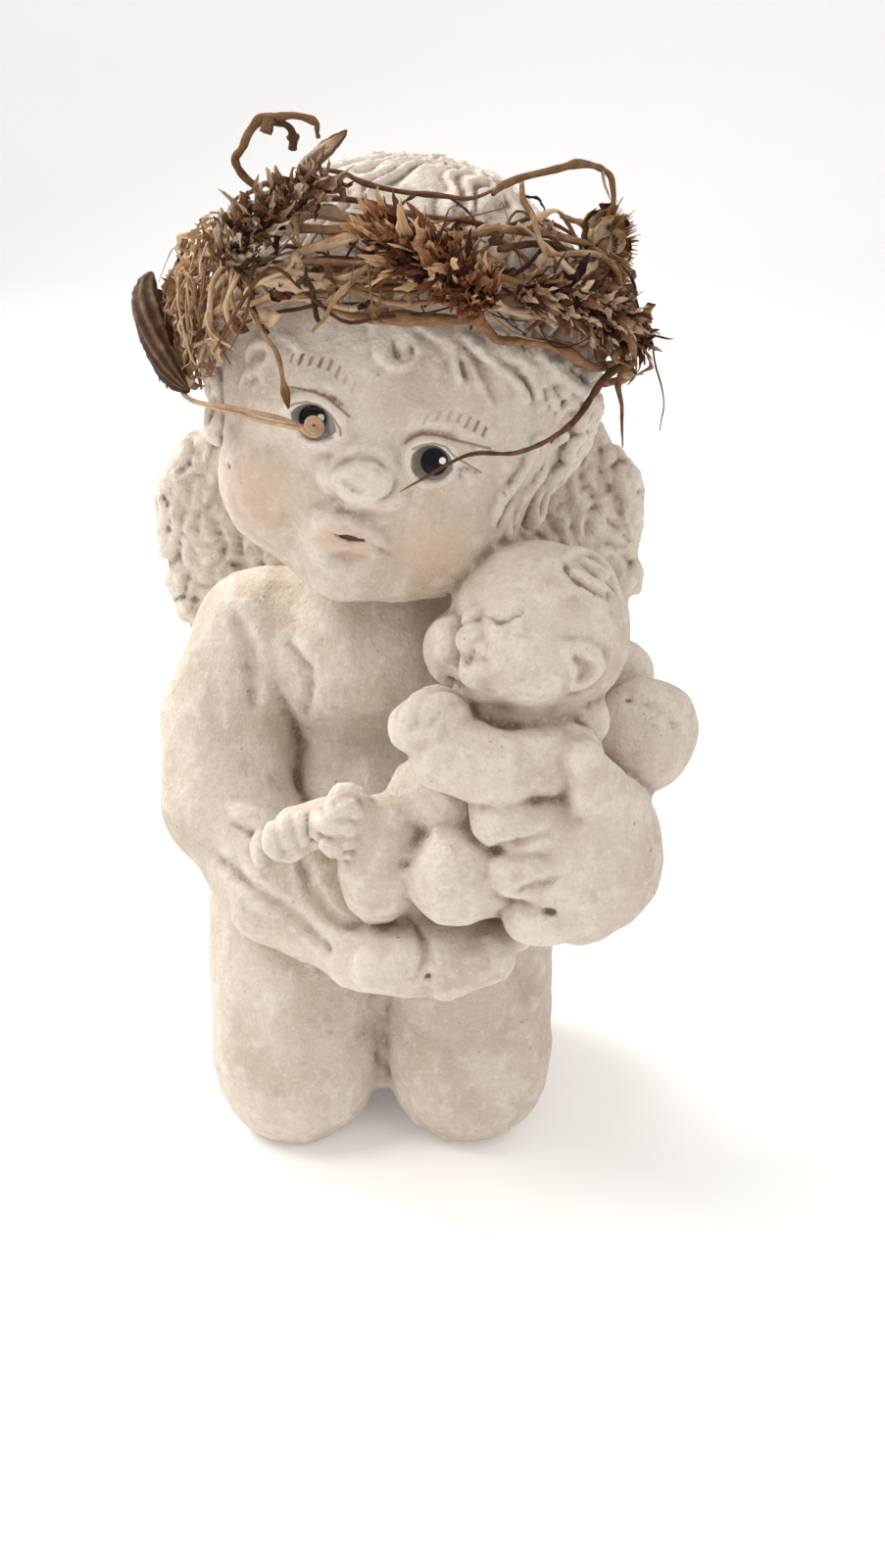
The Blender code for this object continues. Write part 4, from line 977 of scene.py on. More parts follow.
    # painted shadow along the folds and creases of the lids, in the brow colour
    for width, dark, knots in lidShadowLines:
        line = f.spread(alongLine(f, x, z, knots), width + 0.09, width, 0.0, dark)
        tone = f.blend(f.times(line, front), tone, look["brow"])
    f.plug(f.shader.inputs["Base Color"], tone)
    f.plug(f.shader.inputs["Roughness"], f.spread(gloss, 0.0, 1.0, look["roughness"], 0.22))
    f.shader.inputs["Specular IOR Level"].default_value = 0.22
    rough = f.plus(f.times(grain, 0.35), f.noise(where, 900.0, 3.0, 0.6))
    flat = f.spread(gloss, 0.0, 1.0, 0.6, 0.02)
    f.plug(f.shader.inputs["Normal"], f.node("ShaderNodeBump", {"Strength": flat, "Distance": 0.0005,
                                                               "Height": rough}))
    f.shader.inputs["Subsurface Weight"].default_value = 0.05
    f.shader.inputs["Subsurface Radius"].default_value = (0.0012, 0.0009, 0.0006)
    return f.made


makeCasting(plaster())
print("casting in place")


# The wreath: everything on it is placed by a turn round its axis, a rise along it and how
# far it stands off the hair. A turn of 0 is over the brow and +90 degrees is at +X.

wreathCentre = np.array([2.0, -0.5, 113.5])
wreathLean = math.radians(12)
wreathUp = np.array([0, math.sin(wreathLean), math.cos(wreathLean)])
wreathFront = np.array([0, -math.cos(wreathLean), math.sin(wreathLean)])
wreathSide = np.array([1.0, 0, 0])


def outwardAt(turn):
    a = np.radians(turn)
    return np.multiply.outer(np.cos(a), wreathFront) + np.multiply.outer(np.sin(a), wreathSide)


def skullReach(turn, rise):
    start = (wreathCentre + np.multiply.outer(rise, wreathUp) - headPlace[1]) @ headPlace[0] - skullCentre
    along = outwardAt(turn) @ headPlace[0]
    p, d = start / skullRadii, along / skullRadii
    pd, dd, pp = (p * d).sum(-1), (d * d).sum(-1), (p * p).sum(-1)
    return np.maximum((np.sqrt(np.maximum(pd ** 2 - dd * (pp - 1), 0)) - pd) / dd, 0)


def bandInside(turn, rise):
    reach = np.max([skullReach(turn, rise + 1.2 * step) for step in (-1, 0, 1)], axis=0)
    return np.maximum(reach, 0.6 * skullRadii[0]) + 1.7


def onBand(turn, rise, out):
    turn, rise, out = (np.asarray(v, float) for v in (turn, rise, out))
    reach = bandInside(turn, rise) + out
    return wreathCentre + np.multiply.outer(rise, wreathUp) + outwardAt(turn) * reach[..., None]


def wander(count, size, gap):
    # a random walk that bends every few steps, from about -size to size
    knots = rng.normal(0, size, max(int(count / gap) + 2, 3))
    return np.interp(np.linspace(0, len(knots) - 1, count), np.arange(len(knots)), knots)


class Bundle:
    # many small closed shapes that become one piece
    paler = 0.0             # how much paler it gets at the side of -X

    def __init__(self):
        self.points, self.faces, self.tones, self.grains, self.total = [], [], [], [], 0

    def sweep(self, route, section, tone, facing=None):
        # carries a closed cross-section along a route; section is (steps, corners, 2)
        route = np.asarray(route, float)
        n, k = section.shape[:2]
        along = np.gradient(route, axis=0)
        along /= np.maximum(np.linalg.norm(along, axis=1), 1e-9)[:, None]
        hint = np.array([0.3, 0.2, 1.0]) if facing is None else np.asarray(facing, float)
        sideways = np.cross(along[0], hint)
        if np.linalg.norm(sideways) < 1e-3:
            sideways = np.cross(along[0], [1.0, 0.1, 0])
        frames = []
        for t in along:
            sideways = sideways - t * (t @ sideways)
            sideways /= max(np.linalg.norm(sideways), 1e-9)
            frames.append(sideways)
        across = np.array(frames)
        normal = np.cross(across, along)
        ring = (route[:, None] + section[..., :1] * across[:, None] + section[..., 1:] * normal[:, None])
        base = self.total
        self.points.append(ring.reshape(-1, 3))
        a = base + (np.arange(n - 1)[:, None] * k + np.arange(k)[None]).ravel()
        b = base + (np.arange(n - 1)[:, None] * k + (np.arange(k)[None] + 1) % k).ravel()
        self.faces.append(np.stack([a, b, b + k, a + k], 1))
        for start, order in ((base, range(k - 1, -1, -1)), (base + (n - 1) * k, range(k))):
            order = [start + o for o in order]
            for q in range(1, k - 1):
                self.faces.append(np.array([[order[0], order[q], order[q + 1], order[q + 1]]]))
        length = np.concatenate([[0], np.cumsum(np.linalg.norm(np.diff(route, axis=0), axis=1))])
        angle = np.arange(k) * 2 * math.pi / k
        grain = np.stack(np.broadcast_arrays(length[:, None] * 0.35 + 9.0 * rng.random(),
                                             np.cos(angle)[None], np.sin(angle)[None]), -1)
        self.grains.append(grain.reshape(-1, 3))
        tone = np.asarray(tone, float)
        tone = np.broadcast_to(tone.reshape(-1, 1) if tone.ndim == 1 else tone, (n, k))
        pale = 0.32 * np.exp(-((route[:, 0] + 20) / 6.5) ** 2) * (route[:, 1] < -6)
        self.tones.append((tone + pale[:, None] * self.paler).ravel())
        self.total += n * k

    def tube(self, route, radius, tone, sides=6, flat=1.0, twist=0.0):
        n = len(route)
        radius = np.broadcast_to(radius, n)
        angle = np.arange(sides) * 2 * math.pi / sides
        turn = np.linspace(0, twist, n)[:, None]
        x, y = np.cos(angle)[None] * radius[:, None], np.sin(angle)[None] * radius[:, None] * flat
        self.sweep(route, np.stack([x * np.cos(turn) - y * np.sin(turn),
                                    x * np.sin(turn) + y * np.cos(turn)], -1), tone)

    def twig(self, knots, thick, tone, count=40, ends=(0.7, 0.25), rough=0.10, sides=6, kinks=0.2, **more):
        # a dry twig: it tapers, and has a knot here and there and slight kinks
        route = smoothRoute(knots, count)
        t = evenly(count)
        taper = np.interp(t, [0, 0.12, 0.55, 1], [ends[0], 1, 0.9, ends[1]])
        lump = 1 + rough * wander(count, 1.0, 2.5)
        for _ in range(rng.integers(0, 3)):
            lump += 0.4 * np.exp(-((t - rng.random()) * 26) ** 2)
        kink = np.stack([wander(count, thick * kinks, 5) for _ in range(3)], 1)
        kink *= np.minimum(np.minimum(t, 1 - t) * 8, 1)[:, None]
        self.tube(route + kink, thick / 2 * taper * np.maximum(lump, 0.5), tone, sides, **more)

    def blade(self, route, width, facing, tone, fold=0.35, thick=0.10, crumple=0.12, tip=0.05):
        # a dry leaf or bract along a route: keeled, crumpled and closed, with a pointed tip
        n = len(route)
        t = evenly(n)
        shape = width / 2 * np.interp(t, [0, 0.25, 0.5, 0.8, 1], [0.45, 0.9, 1.0, 0.6, tip])
        edge = 1 + crumple * 1.5 * rng.normal(0, 1, (n, 2))
        lift = fold * shape + crumple * shape * rng.normal(0, 1, n)
        other = fold * shape + crumple * shape * rng.normal(0, 1, n)
        middle = thick * (1 - 0.7 * t)
        rim = thick * 0.25
        zero = np.zeros(n)
        section = np.stack([
            np.stack([-shape * edge[:, 0], lift], -1),
            np.stack([-shape * 0.5, lift * 0.42 + middle], -1),
            np.stack([zero, middle], -1),
            np.stack([shape * 0.5, other * 0.42 + middle], -1),
            np.stack([shape * edge[:, 1], other], -1),
            np.stack([shape * edge[:, 1] * 0.96, other - rim], -1),
            np.stack([zero, zero - middle * 0.4], -1),
            np.stack([-shape * edge[:, 0] * 0.96, lift - rim], -1)], 1)
        self.sweep(route, section[:, ::-1], tone, facing)

    def finish(self, name, finish, node, slot):
        points = np.vstack(self.points) * unit + standAt
        data = bpy.data.meshes.new(name)
        faces = np.vstack(self.faces).tolist()
        faces = [f[:3] if f[2] == f[3] else f for f in faces]
        data.from_pydata(points.tolist(), [], faces)
        data.update()
        addValues(data, "tone", np.concatenate(self.tones))
        addValues(data, "grain", np.vstack(self.grains), "FLOAT_VECTOR")
        data.materials.append(finish)
        data.shade_smooth()
        made = placed(name, data)
        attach(made, "root")
        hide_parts(node)
        print("%s: %d faces" % (name, len(faces)))


dryLook = {"streaks": 0.5, "blotches": 0.55, "roughness": 0.85}


def dryFinish(name, stops):
    # a dry plant finish: colours along a tone from dark to pale, with streaks lengthwise
    f = Finish(name)
    where = f.node("ShaderNodeTexCoord", output=3)
    tone = f.stored("tone")
    grain = f.stored("grain", 1)
    streak = f.noise(grain, 2.4, 3.0, 0.6)
    blotch = f.noise(where, 500.0, 3.0, 0.6)
    tone = f.plus(tone, f.swing(streak, dryLook["streaks"]))
    tone = f.plus(tone, f.swing(blotch, dryLook["blotches"]))
    ramp = f.tree.nodes.new("ShaderNodeValToRGB")
    f.plug(ramp.inputs[0], tone)
    while len(ramp.color_ramp.elements) < len(stops):
        ramp.color_ramp.elements.new(0.5)
    for element, (place, shade) in zip(ramp.color_ramp.elements, stops):
        element.position = place
        element.color = (*colour(*shade), 1.0)
    f.plug(f.shader.inputs["Base Color"], ramp.outputs[0])
    f.shader.inputs["Roughness"].default_value = dryLook["roughness"]
    f.shader.inputs["Specular IOR Level"].default_value = 0.25
    height = f.plus(f.noise(grain, 5.0, 2.0, 0.6), f.noise(where, 2500.0, 2.0, 0.6))
    f.plug(f.shader.inputs["Normal"], f.node("ShaderNodeBump", {"Strength": 0.5, "Distance": 0.00012,
                                                               "Height": height}))
    return f.made


wreathLook = {
    "vines": 14,             # long stems that go a good part of the way round
    "twigs": 78,             # shorter ones woven over them
    "tendrils": 60,          # thin curling ones
    "crossings": 48,         # steep pieces that bind the band
    "scraps": 210,           # crumpled bits of leaf caught in between
    "vine": 1.15,            # thickness of the stoutest stem
}


def bandEdges(turn):
    # lowest and highest rise of the wreath at a turn
    t = (np.asarray(turn, float) + 180) % 360 - 180
    low = np.interp(t, [-180, -120, -80, -58, -34, -15, 15, 34, 55, 80, 120, 180],
                    [-6, -7, -8.4, -8.2, -5.6, -4.6, -4.6, -5.6, -7.0, -7.4, -7, -6])
    high = np.interp(t, [-180, -120, -72, -36, -15, 5, 23, 39, 65, 90, 130, 180],
                     [6, 7, 8.2, 6.4, 6.0, 5.2, 6.0, 7.4, 8.2, 7.4, 6.6, 6])
    return low, high


def strayRoute(start, span, count, loose=0.5, out=(0.4, 4.0), rise=None):
    # a route along the band that wanders between its edges
    turn = np.linspace(start, start + span, count)
    low, high = bandEdges(turn)
    share = rng.uniform(0.1, 0.9) if rise is None else rise
    drift = rng.normal(0, 0.35)
    t = np.linspace(-0.5, 0.5, count)
    share = share + drift * t + wander(count, loose * 0.28, 3)
    depth = rng.uniform(*out) + wander(count, loose * 1.1, 3)
    return turn, low + (high - low) * np.clip(share, -0.08, 1.08), np.clip(depth, 0.35, out[1] + 0.9)


# loose stems and blades over the hair and the brow: width, tone and the knots
looseStems = (
    (0.62, 0.5, ((-8.5, -13.6, 129.8), (-3.9, -15.1, 128.8), (-1.3, -17.3, 127.8), (2.7, -18.7, 127),
     (7.3, -18.5, 126.6), (11, -17.6, 126.3), (14.9, -13.5, 127.8), (16.8, -11.6, 128.7))),
    (0.62, 0.42, ((-9.4, -17, 126.4), (-3.3, -19.4, 126.1), (1.4, -20.8, 125.5), (5.4, -21.4, 124.6),
     (10, -20.8, 124), (14, -19.4, 123.4), (17.9, -16.3, 124.3), (22, -13.9, 122.9), (24, -13.3, 120.7))),
    (0.5, 0.62, ((-8.9, -19, 125.4), (-4.3, -21.2, 125), (1.4, -22.4, 124.2), (6.4, -22.8, 123.4),
     (12, -21, 122.4))),
    (0.34, 0.2, ((4.7, -19.9, 126.7), (2.7, -21.7, 125.2), (1.7, -22.8, 123.8))),
    (0.34, 0.25, ((8.5, -19.6, 126.3), (10, -20.2, 125.2), (11, -21, 124), (11.5, -22.4, 122.1))),
    (0.72, 0.72, ((16.4, -16.6, 128), (16.3, -19.1, 126.4), (17.6, -20.6, 124.3), (18.2, -22.2, 122.1),
     (18.7, -23, 120.4), (18.1, -24.2, 119.1), (16.6, -25.7, 117.9))),
    (0.35, 0.2, ((17.1, -13.9, 126.6), (18.7, -12.8, 126.2), (19.3, -14.3, 124.7))),
    (0.8, 0.74, ((18.9, -23, 120.7), (22.8, -19.8, 120.6), (25.8, -16.6, 120), (27.8, -15, 118.2),
     (28.5, -15.7, 115.6), (28.9, -15.5, 114.6))),
    (0.72, 0.66, ((0.8, -28, 120.4), (-1.5, -28.9, 118.7), (-3.5, -29.1, 116.9), (-4.8, -29.3, 115.1),
     (-6.4, -29.3, 113))),
    (0.95, 0.12, ((-10.3, -21, 125.4), (-10.2, -22.6, 123.4), (-10.5, -24.6, 120.6))),
    (0.42, 0.35, ((-13, -23.4, 120.4), (-13.9, -25.6, 114.6), (-16, -24.6, 110.7))),
    (0.5, 0.4, ((-22.5, -14.3, 118.9), (-20.6, -18.4, 116.7), (-21.6, -18.2, 113.5),
     (-21.4, -19.3, 109))),
    (0.22, 0.2, ((10.5, -25, 116.4), (11.5, -24.4, 115.4), (14, -23.8, 114.2), (17.5, -22.2, 113.5))),
    (0.22, 0.25, ((12.5, -24.9, 116.1), (14.6, -24.1, 113.8), (17, -23, 112.1))),
    (0.45, 0.3, ((11, -24.9, 115.2), (10.7, -25.4, 112.9))),
    (0.5, 0.3, ((16.8, -23.1, 112.4), (16.6, -23.5, 110.9))),
    (0.42, 0.7, ((21.2, -24.2, 117), (20.9, -25.6, 115.2), (17.7, -27.6, 114.4))),
    (0.62, 0.35, ((-11.4, -16.6, 127.9), (-14, -15.1, 127.1), (-16.2, -14.1, 126.1))),
)
looseBlades = (
    (1.7, 0.86, ((-10.4, -19.7, 124), (-7.4, -20.9, 124.6), (-4.5, -22, 124.9), (-0.4, -23.9, 123.3))),
    (1.3, 0.8, ((-9, -24.1, 120.7), (-4.9, -25.5, 121.6), (-1.6, -26, 122.5), (1.3, -26.2, 122.5))),
    (1.2, 0.82, ((-13.4, -23.2, 119.1), (-9.9, -25.4, 118.9), (-6.5, -27, 118.3), (-2.9, -27.9, 118.3),
     (-0.3, -27.8, 119.6))),
    (1.4, 0.88, ((-12.4, -24.6, 117.9), (-8.2, -26.9, 117.5), (-4, -28.2, 117.7))),
)


def hairTwigs(b):
    for thick, tone, knots in looseStems:
        b.twig(knots, thick, tone + 0.1 * wander(26, 0.6, 4), count=26, ends=(0.9, 0.5))
    for width, tone, knots in looseBlades:
        b.blade(smoothRoute(knots, 18), width, outwardAt(-15), tone, fold=0.25, thick=0.16,
                crumple=0.1, tip=0.2)


def makeWreath(finish):
    b = Bundle()
    b.paler = 1.0
    look = wreathLook
    few = 1.0
    for k in range(look["vines"]):
        start = 360 * k / look["vines"] + rng.uniform(-9, 9)
        turn, rise, out = strayRoute(start, rng.uniform(110, 230), 26, loose=0.55, out=(0.6, 3.4),
                                     rise=(k * 0.618) % 1 * 0.9 + 0.05)
        b.twig(onBand(turn, rise, out), look["vine"] * rng.uniform(0.65, 1.05), rng.uniform(0.35, 0.8),
               count=120)
    for k in range(int(look["twigs"] * few)):
        turn, rise, out = strayRoute(rng.uniform(0, 360), rng.uniform(22, 80), 9, loose=0.8)
        thick = rng.uniform(0.4, 0.95)
        flat = rng.random() < 0.3
        b.twig(onBand(turn, rise, out), thick * (1.7 if flat else 1), rng.uniform(0.25, 1.0), count=34,
               flat=0.3 if flat else 1.0, twist=rng.uniform(-4, 4) if flat else 0.0)
    for k in range(int(look["tendrils"] * few)):
        start = rng.uniform(0, 360) if k % 2 else rng.uniform(-85, -45)
        turn, rise, out = strayRoute(start, rng.uniform(-30, 30), 8, loose=1.8, out=(1.0, 4.6))
        b.twig(onBand(turn, rise, out), rng.uniform(0.16, 0.34), rng.uniform(0.15, 0.7), count=26, sides=5)
    # steep crossing pieces that bind the band
    for k in range(int(look["crossings"] * few)):
        turn = rng.uniform(0, 360) if k % 3 else rng.uniform(-85, -30)
        low, high = bandEdges(turn)
        lean = rng.uniform(-16, 16)
        t = evenly(5)
        rise = low + (high - low) * (rng.uniform(-0.05, 0.2) + t * rng.uniform(0.5, 0.95))
        out = 2.2 + 2.4 * np.sin(math.pi * t) * rng.uniform(0.3, 1) + rng.normal(0, 0.3, 5)
        b.twig(onBand(turn + lean * t + rng.normal(0, 1.5, 5), rise, out), rng.uniform(0.3, 0.75),
               rng.uniform(0.1, 0.9), count=20)
    # bits of leaf caught in between, and frilly ones on the side at -X
    for k in range(int(look["scraps"] * few)):
        frilly = k % 3 == 0
        turn = rng.uniform(-88, -48) if frilly else rng.uniform(0, 360)
        low, high = bandEdges(turn)
        rise = rng.uniform(low, high)
        length = rng.uniform(1.2, 3.2)
        go = rng.normal(0, 1, 2)
        go = go / np.linalg.norm(go) * length
        t = evenly(8)
        place = onBand(turn + go[0] * t / 0.5, rise + go[1] * t, rng.uniform(2.0, 4.6) + wander(8, 0.5, 2))
        facing = outwardAt(turn) + rng.normal(0, 0.5, 3)
        b.blade(place, rng.uniform(0.8, 2.3), facing, rng.uniform(*((0.5, 1.15) if frilly else (0.2, 1.0))),
                fold=rng.uniform(0.1, 0.8), crumple=0.25, tip=0.3)
    hairTwigs(b)
    b.finish("wreath", finish, "woven_vine_wreath", "dried_vine")


def bract(b, root, go, facing, length, width, tone, curl=0.3):
    # one pointed scale that leaves its root, and curls towards what it faces
    go = go / np.linalg.norm(go)
    t = evenly(8)
    bend = facing / np.linalg.norm(facing) * curl * length
    route = root + np.outer(t, go * length) + np.outer(t ** 2, bend)
    kinks = np.stack([wander(8, 0.16, 2) for _ in range(3)], 1)
    b.blade(route + kinks, width, facing, tone + 0.3 * (t - 0.5), fold=rng.uniform(0.2, 1.2),
            thick=0.11, crumple=0.24, tip=0.12)


flowerLooks = {
    "flower_head_front": {"from": (-2, 3.0), "to": (20, -3.6), "girth": 6.4, "scales": 300,
                          "length": (1.6, 4.8), "width": (0.5, 1.5), "go": (-0.9, 0.3), "tone": (0.0, 1.1)},
    "flower_head_right": {"from": (27, -2.0), "to": (63, -5.2), "girth": 5.8, "scales": 300,
                          "length": (1.4, 4.0), "width": (0.5, 1.3), "go": (0.75, -0.2), "tone": (0.0, 1.0)},
    "flower_head_left": {"from": (-40, 1.6), "to": (-15, 9.6), "girth": 5.0, "scales": 260,
                         "length": (1.4, 4.0), "width": (0.5, 1.3), "go": (0.55, 0.55), "tone": (0.0, 1.05)},
}


def makeFlower(node, finish, slot):
    look = flowerLooks[node]
    b = Bundle()
    count = look["scales"] // 1
    t0 = evenly(9)
    swell = look["girth"] / 2 * (0.35 + 0.5 * np.sin(math.pi * t0))
    turns = look["from"][0] + (look["to"][0] - look["from"][0]) * t0
    rises = look["from"][1] + (look["to"][1] - look["from"][1]) * t0
    spine = onBand(turns, rises, 4.5 + swell * 0.8)
    # its core, in the darkest tone: painted shade that shows between the scales
    b.tube(spine, swell * 0.62, 0.05, sides=10)
    for k in range(count):
        t = (k + 0.5) / count
        i = min(int(8 * t), 7)
        root = spine[i] + (spine[i + 1] - spine[i]) * (8 * t - i)
        girth = np.interp(t, t0, swell)
        along = spine[i + 1] - spine[i]
        along /= np.linalg.norm(along)
        out = outwardAt(np.interp(t, t0, turns))
        aside = np.cross(along, out)
        angle = rng.uniform(-1.75, 1.75)
        around = out * math.cos(angle) + aside * math.sin(angle)
        start = root + around * girth * rng.uniform(0.35, 0.8)
        go = along * look["go"][0] + wreathUp * look["go"][1] + around * rng.uniform(0.25, 0.8)
        mess = np.interp(t, [0, 0.3, 1], [0.25, 0.6, 0.85])
        go += rng.normal(0, mess, 3)
        tone = rng.uniform(*look["tone"])
        facing = around + rng.normal(0, 0.5, 3)
        length = rng.uniform(*look["length"]) * (1.25 - 0.55 * mess)
        bract(b, start, go, facing, length, rng.uniform(*look["width"]), tone,
              curl=rng.uniform(-0.15, 0.4))
    # dry hairs along its lower edge
    for k in range(70 if node == "flower_head_front" else 30):
        t = rng.random()
        root = onBand(np.interp(t, t0, turns), np.interp(t, t0, rises) - np.interp(t, t0, swell) * 0.7, 4.6)
        go = rng.normal(0, 0.5, 3) + outwardAt(np.interp(t, t0, turns)) * 0.4 - wreathUp * 0.5
        go = go / np.linalg.norm(go) * rng.uniform(0.8, 1.8)
        hair = root + np.outer(evenly(5), go) + rng.normal(0, 0.06, (5, 3))
        b.tube(hair, 0.055, rng.uniform(0.2, 0.8), sides=4)
    if node == "flower_head_left":
        # a closed bud at its upper end
        stalk = [(-8.4, -16.4, 129.4), (-6.2, -17.4, 130.6), (-4.4, -17.8, 131.8), (-3, -18, 132.8)]
        for k in range(9):
            spin = 2 * math.pi * k / 9
            off = np.array([0.3 * math.cos(spin), 0.9 * math.sin(spin), 0.7 * math.cos(spin)])
            shape = np.interp(evenly(10), [0, 0.4, 1], [0.5, 1.15, 0.35 + 0.3 * rng.random()])
            route = smoothRoute(stalk, 10) + off * shape[:, None]
            b.blade(route, 1.3, off, 0.55 + 0.4 * rng.random() - 0.5 * evenly(10) ** 4, fold=0.2,
                    thick=0.14, crumple=0.08, tip=0.25)
    b.finish(node, finish, node, slot)


seedHeadLook = {
    "rings": ((7, 1.0, 0.75), (6, 0.8, 0.55), (6, 0.6, 0.35)),      # of bracts: how many, size, how open
    "bristles": 170,
}


def makeSeedHead(finish):
    b = Bundle()
    heart = onBand(np.array(60.0), np.array(5.4), np.array(4.6))
    out = outwardAt(60.0)
    aside = np.cross(wreathUp, out)
    face = out * 0.75 - aside * 0.5 + wreathUp * 0.1
    face /= np.linalg.norm(face)
    tall = wreathUp - face * (wreathUp @ face)
    tall /= np.linalg.norm(tall)
    wide = np.cross(tall, face)
    for ring, (count, size, open_) in enumerate(seedHeadLook["rings"]):
        for k in range(count):
            a = 2 * math.pi * (k + 0.5 * ring) / count + rng.normal(0, 0.12)
            lean = tall * math.cos(a) * 1.35 + wide * math.sin(a)
            root = heart - face * 1.6 + lean * 0.5
            tip = heart + lean * 3.1 * size + face * (2.0 - 1.4 * open_)
            middle = heart + lean * 2.9 * size - face * 0.5
            shade = (0.25, 0.75, 0.95)[ring] + 0.2 * rng.random() - 0.5 * evenly(9) ** 3
            b.blade(smoothRoute([root, middle, tip], 9), 3.0, -lean, shade, fold=0.3,
                    thick=0.2, crumple=0.14, tip=0.35)
    for k in range(seedHeadLook["bristles"]):
        a = rng.uniform(-1.3, 1.3) + math.pi / 2
        lean = tall * math.cos(a) * 1.2 + wide * math.sin(a)
        root = heart + lean * rng.uniform(1.2, 2.2) - face * 0.2
        go = lean * rng.uniform(1.2, 2.4) + face * rng.uniform(0.2, 1.6) + rng.normal(0, 0.25, 3)
        b.tube(root + np.outer(evenly(4), go), np.linspace(0.10, 0.04, 4),
               rng.uniform(0.2, 0.65), sides=4)
    stalk = [heart - face * back - wreathUp * down for back, down in ((1.4, 0), (2.2, 2), (3.2, 4.5))]
    b.tube(smoothRoute(stalk, 12), 0.5, 0.3)
    b.finish("seed_head", finish, "seed_head", "grey_flower")


curledLeafLook = {
    "girth": 2.55,           # half its width where it is widest
    "ribs": 9,
    "shreds": 7,             # loose bits along it
}


def makeCurledLeaf(finish):
    # the long dark leaf at the side, rolled up on itself, with ribs along it
    b = Bundle()
    turns = np.array([-80, -77, -72, -67, -62, -57, -53.5])
    rises = np.array([3.4, 1.2, -1.6, -4.6, -7.6, -10.2, -11.6])
    route = smoothRoute(onBand(turns, rises, np.array([6.4, 6.6, 6.6, 6.4, 6.2, 6.0, 5.6])), 36)
    t = evenly(36)
    size = curledLeafLook["girth"] * np.interp(t, [0, 0.12, 0.4, 0.75, 1], [0.18, 0.6, 1.0, 0.75, 0.12])
    angle = np.linspace(0, 2 * math.pi, 41)[:-1]
    ribs = curledLeafLook["ribs"] * angle[None] + 1.6 * np.sin(5 * t)[:, None] + 0.8 * np.sin(3 * angle)[None]
    rib = 1 + 0.06 * np.cos(ribs) + 0.05 * rng.normal(0, 1, (36, 40))
    gape = 1 - 0.75 * np.exp(-((angle - 1.0) / 0.42) ** 2)[None] * np.sin(math.pi * t)[:, None]
    radius = size[:, None] * rib * gape
    section = np.stack([radius * np.cos(angle)[None], radius * np.sin(angle)[None] * 0.8], -1)
    tone = 0.42 + 0.28 * np.cos(ribs)
    # the strip where the roll opens is darker: painted shade in that groove
    b.sweep(route, section, tone - 0.5 * np.exp(-((angle - 1.0) / 0.5) ** 2)[None], outwardAt(-66))
    for k in range(curledLeafLook["shreds"]):
        a = rng.uniform(0, 6.28)
        off = np.array([math.cos(a), 0.4 * math.sin(a), 0.3]) * 1.6
        b.blade(route[2:26:2] + off * size[2:26:2, None] / 2.5, 1.3, outwardAt(-66),
                rng.uniform(0.2, 0.9), fold=0.3, crumple=0.2, tip=0.1)
    b.finish("curled_leaf", finish, "curled_leaf", "dried_leaf")


def tuckedRoute(tucked, free):
    first = [onBand(np.array(float(turn)), np.array(float(rise)), np.array(4.8)) for turn, rise in tucked]
    return first + [np.array(p, float) for p in free]


stemLook = {
    "leftLoop": 1.0,         # thickness of the loops over the wreath
    "rightLoop": 0.85,
    "spiral": 2.4,           # turns of the end that is rolled up
}


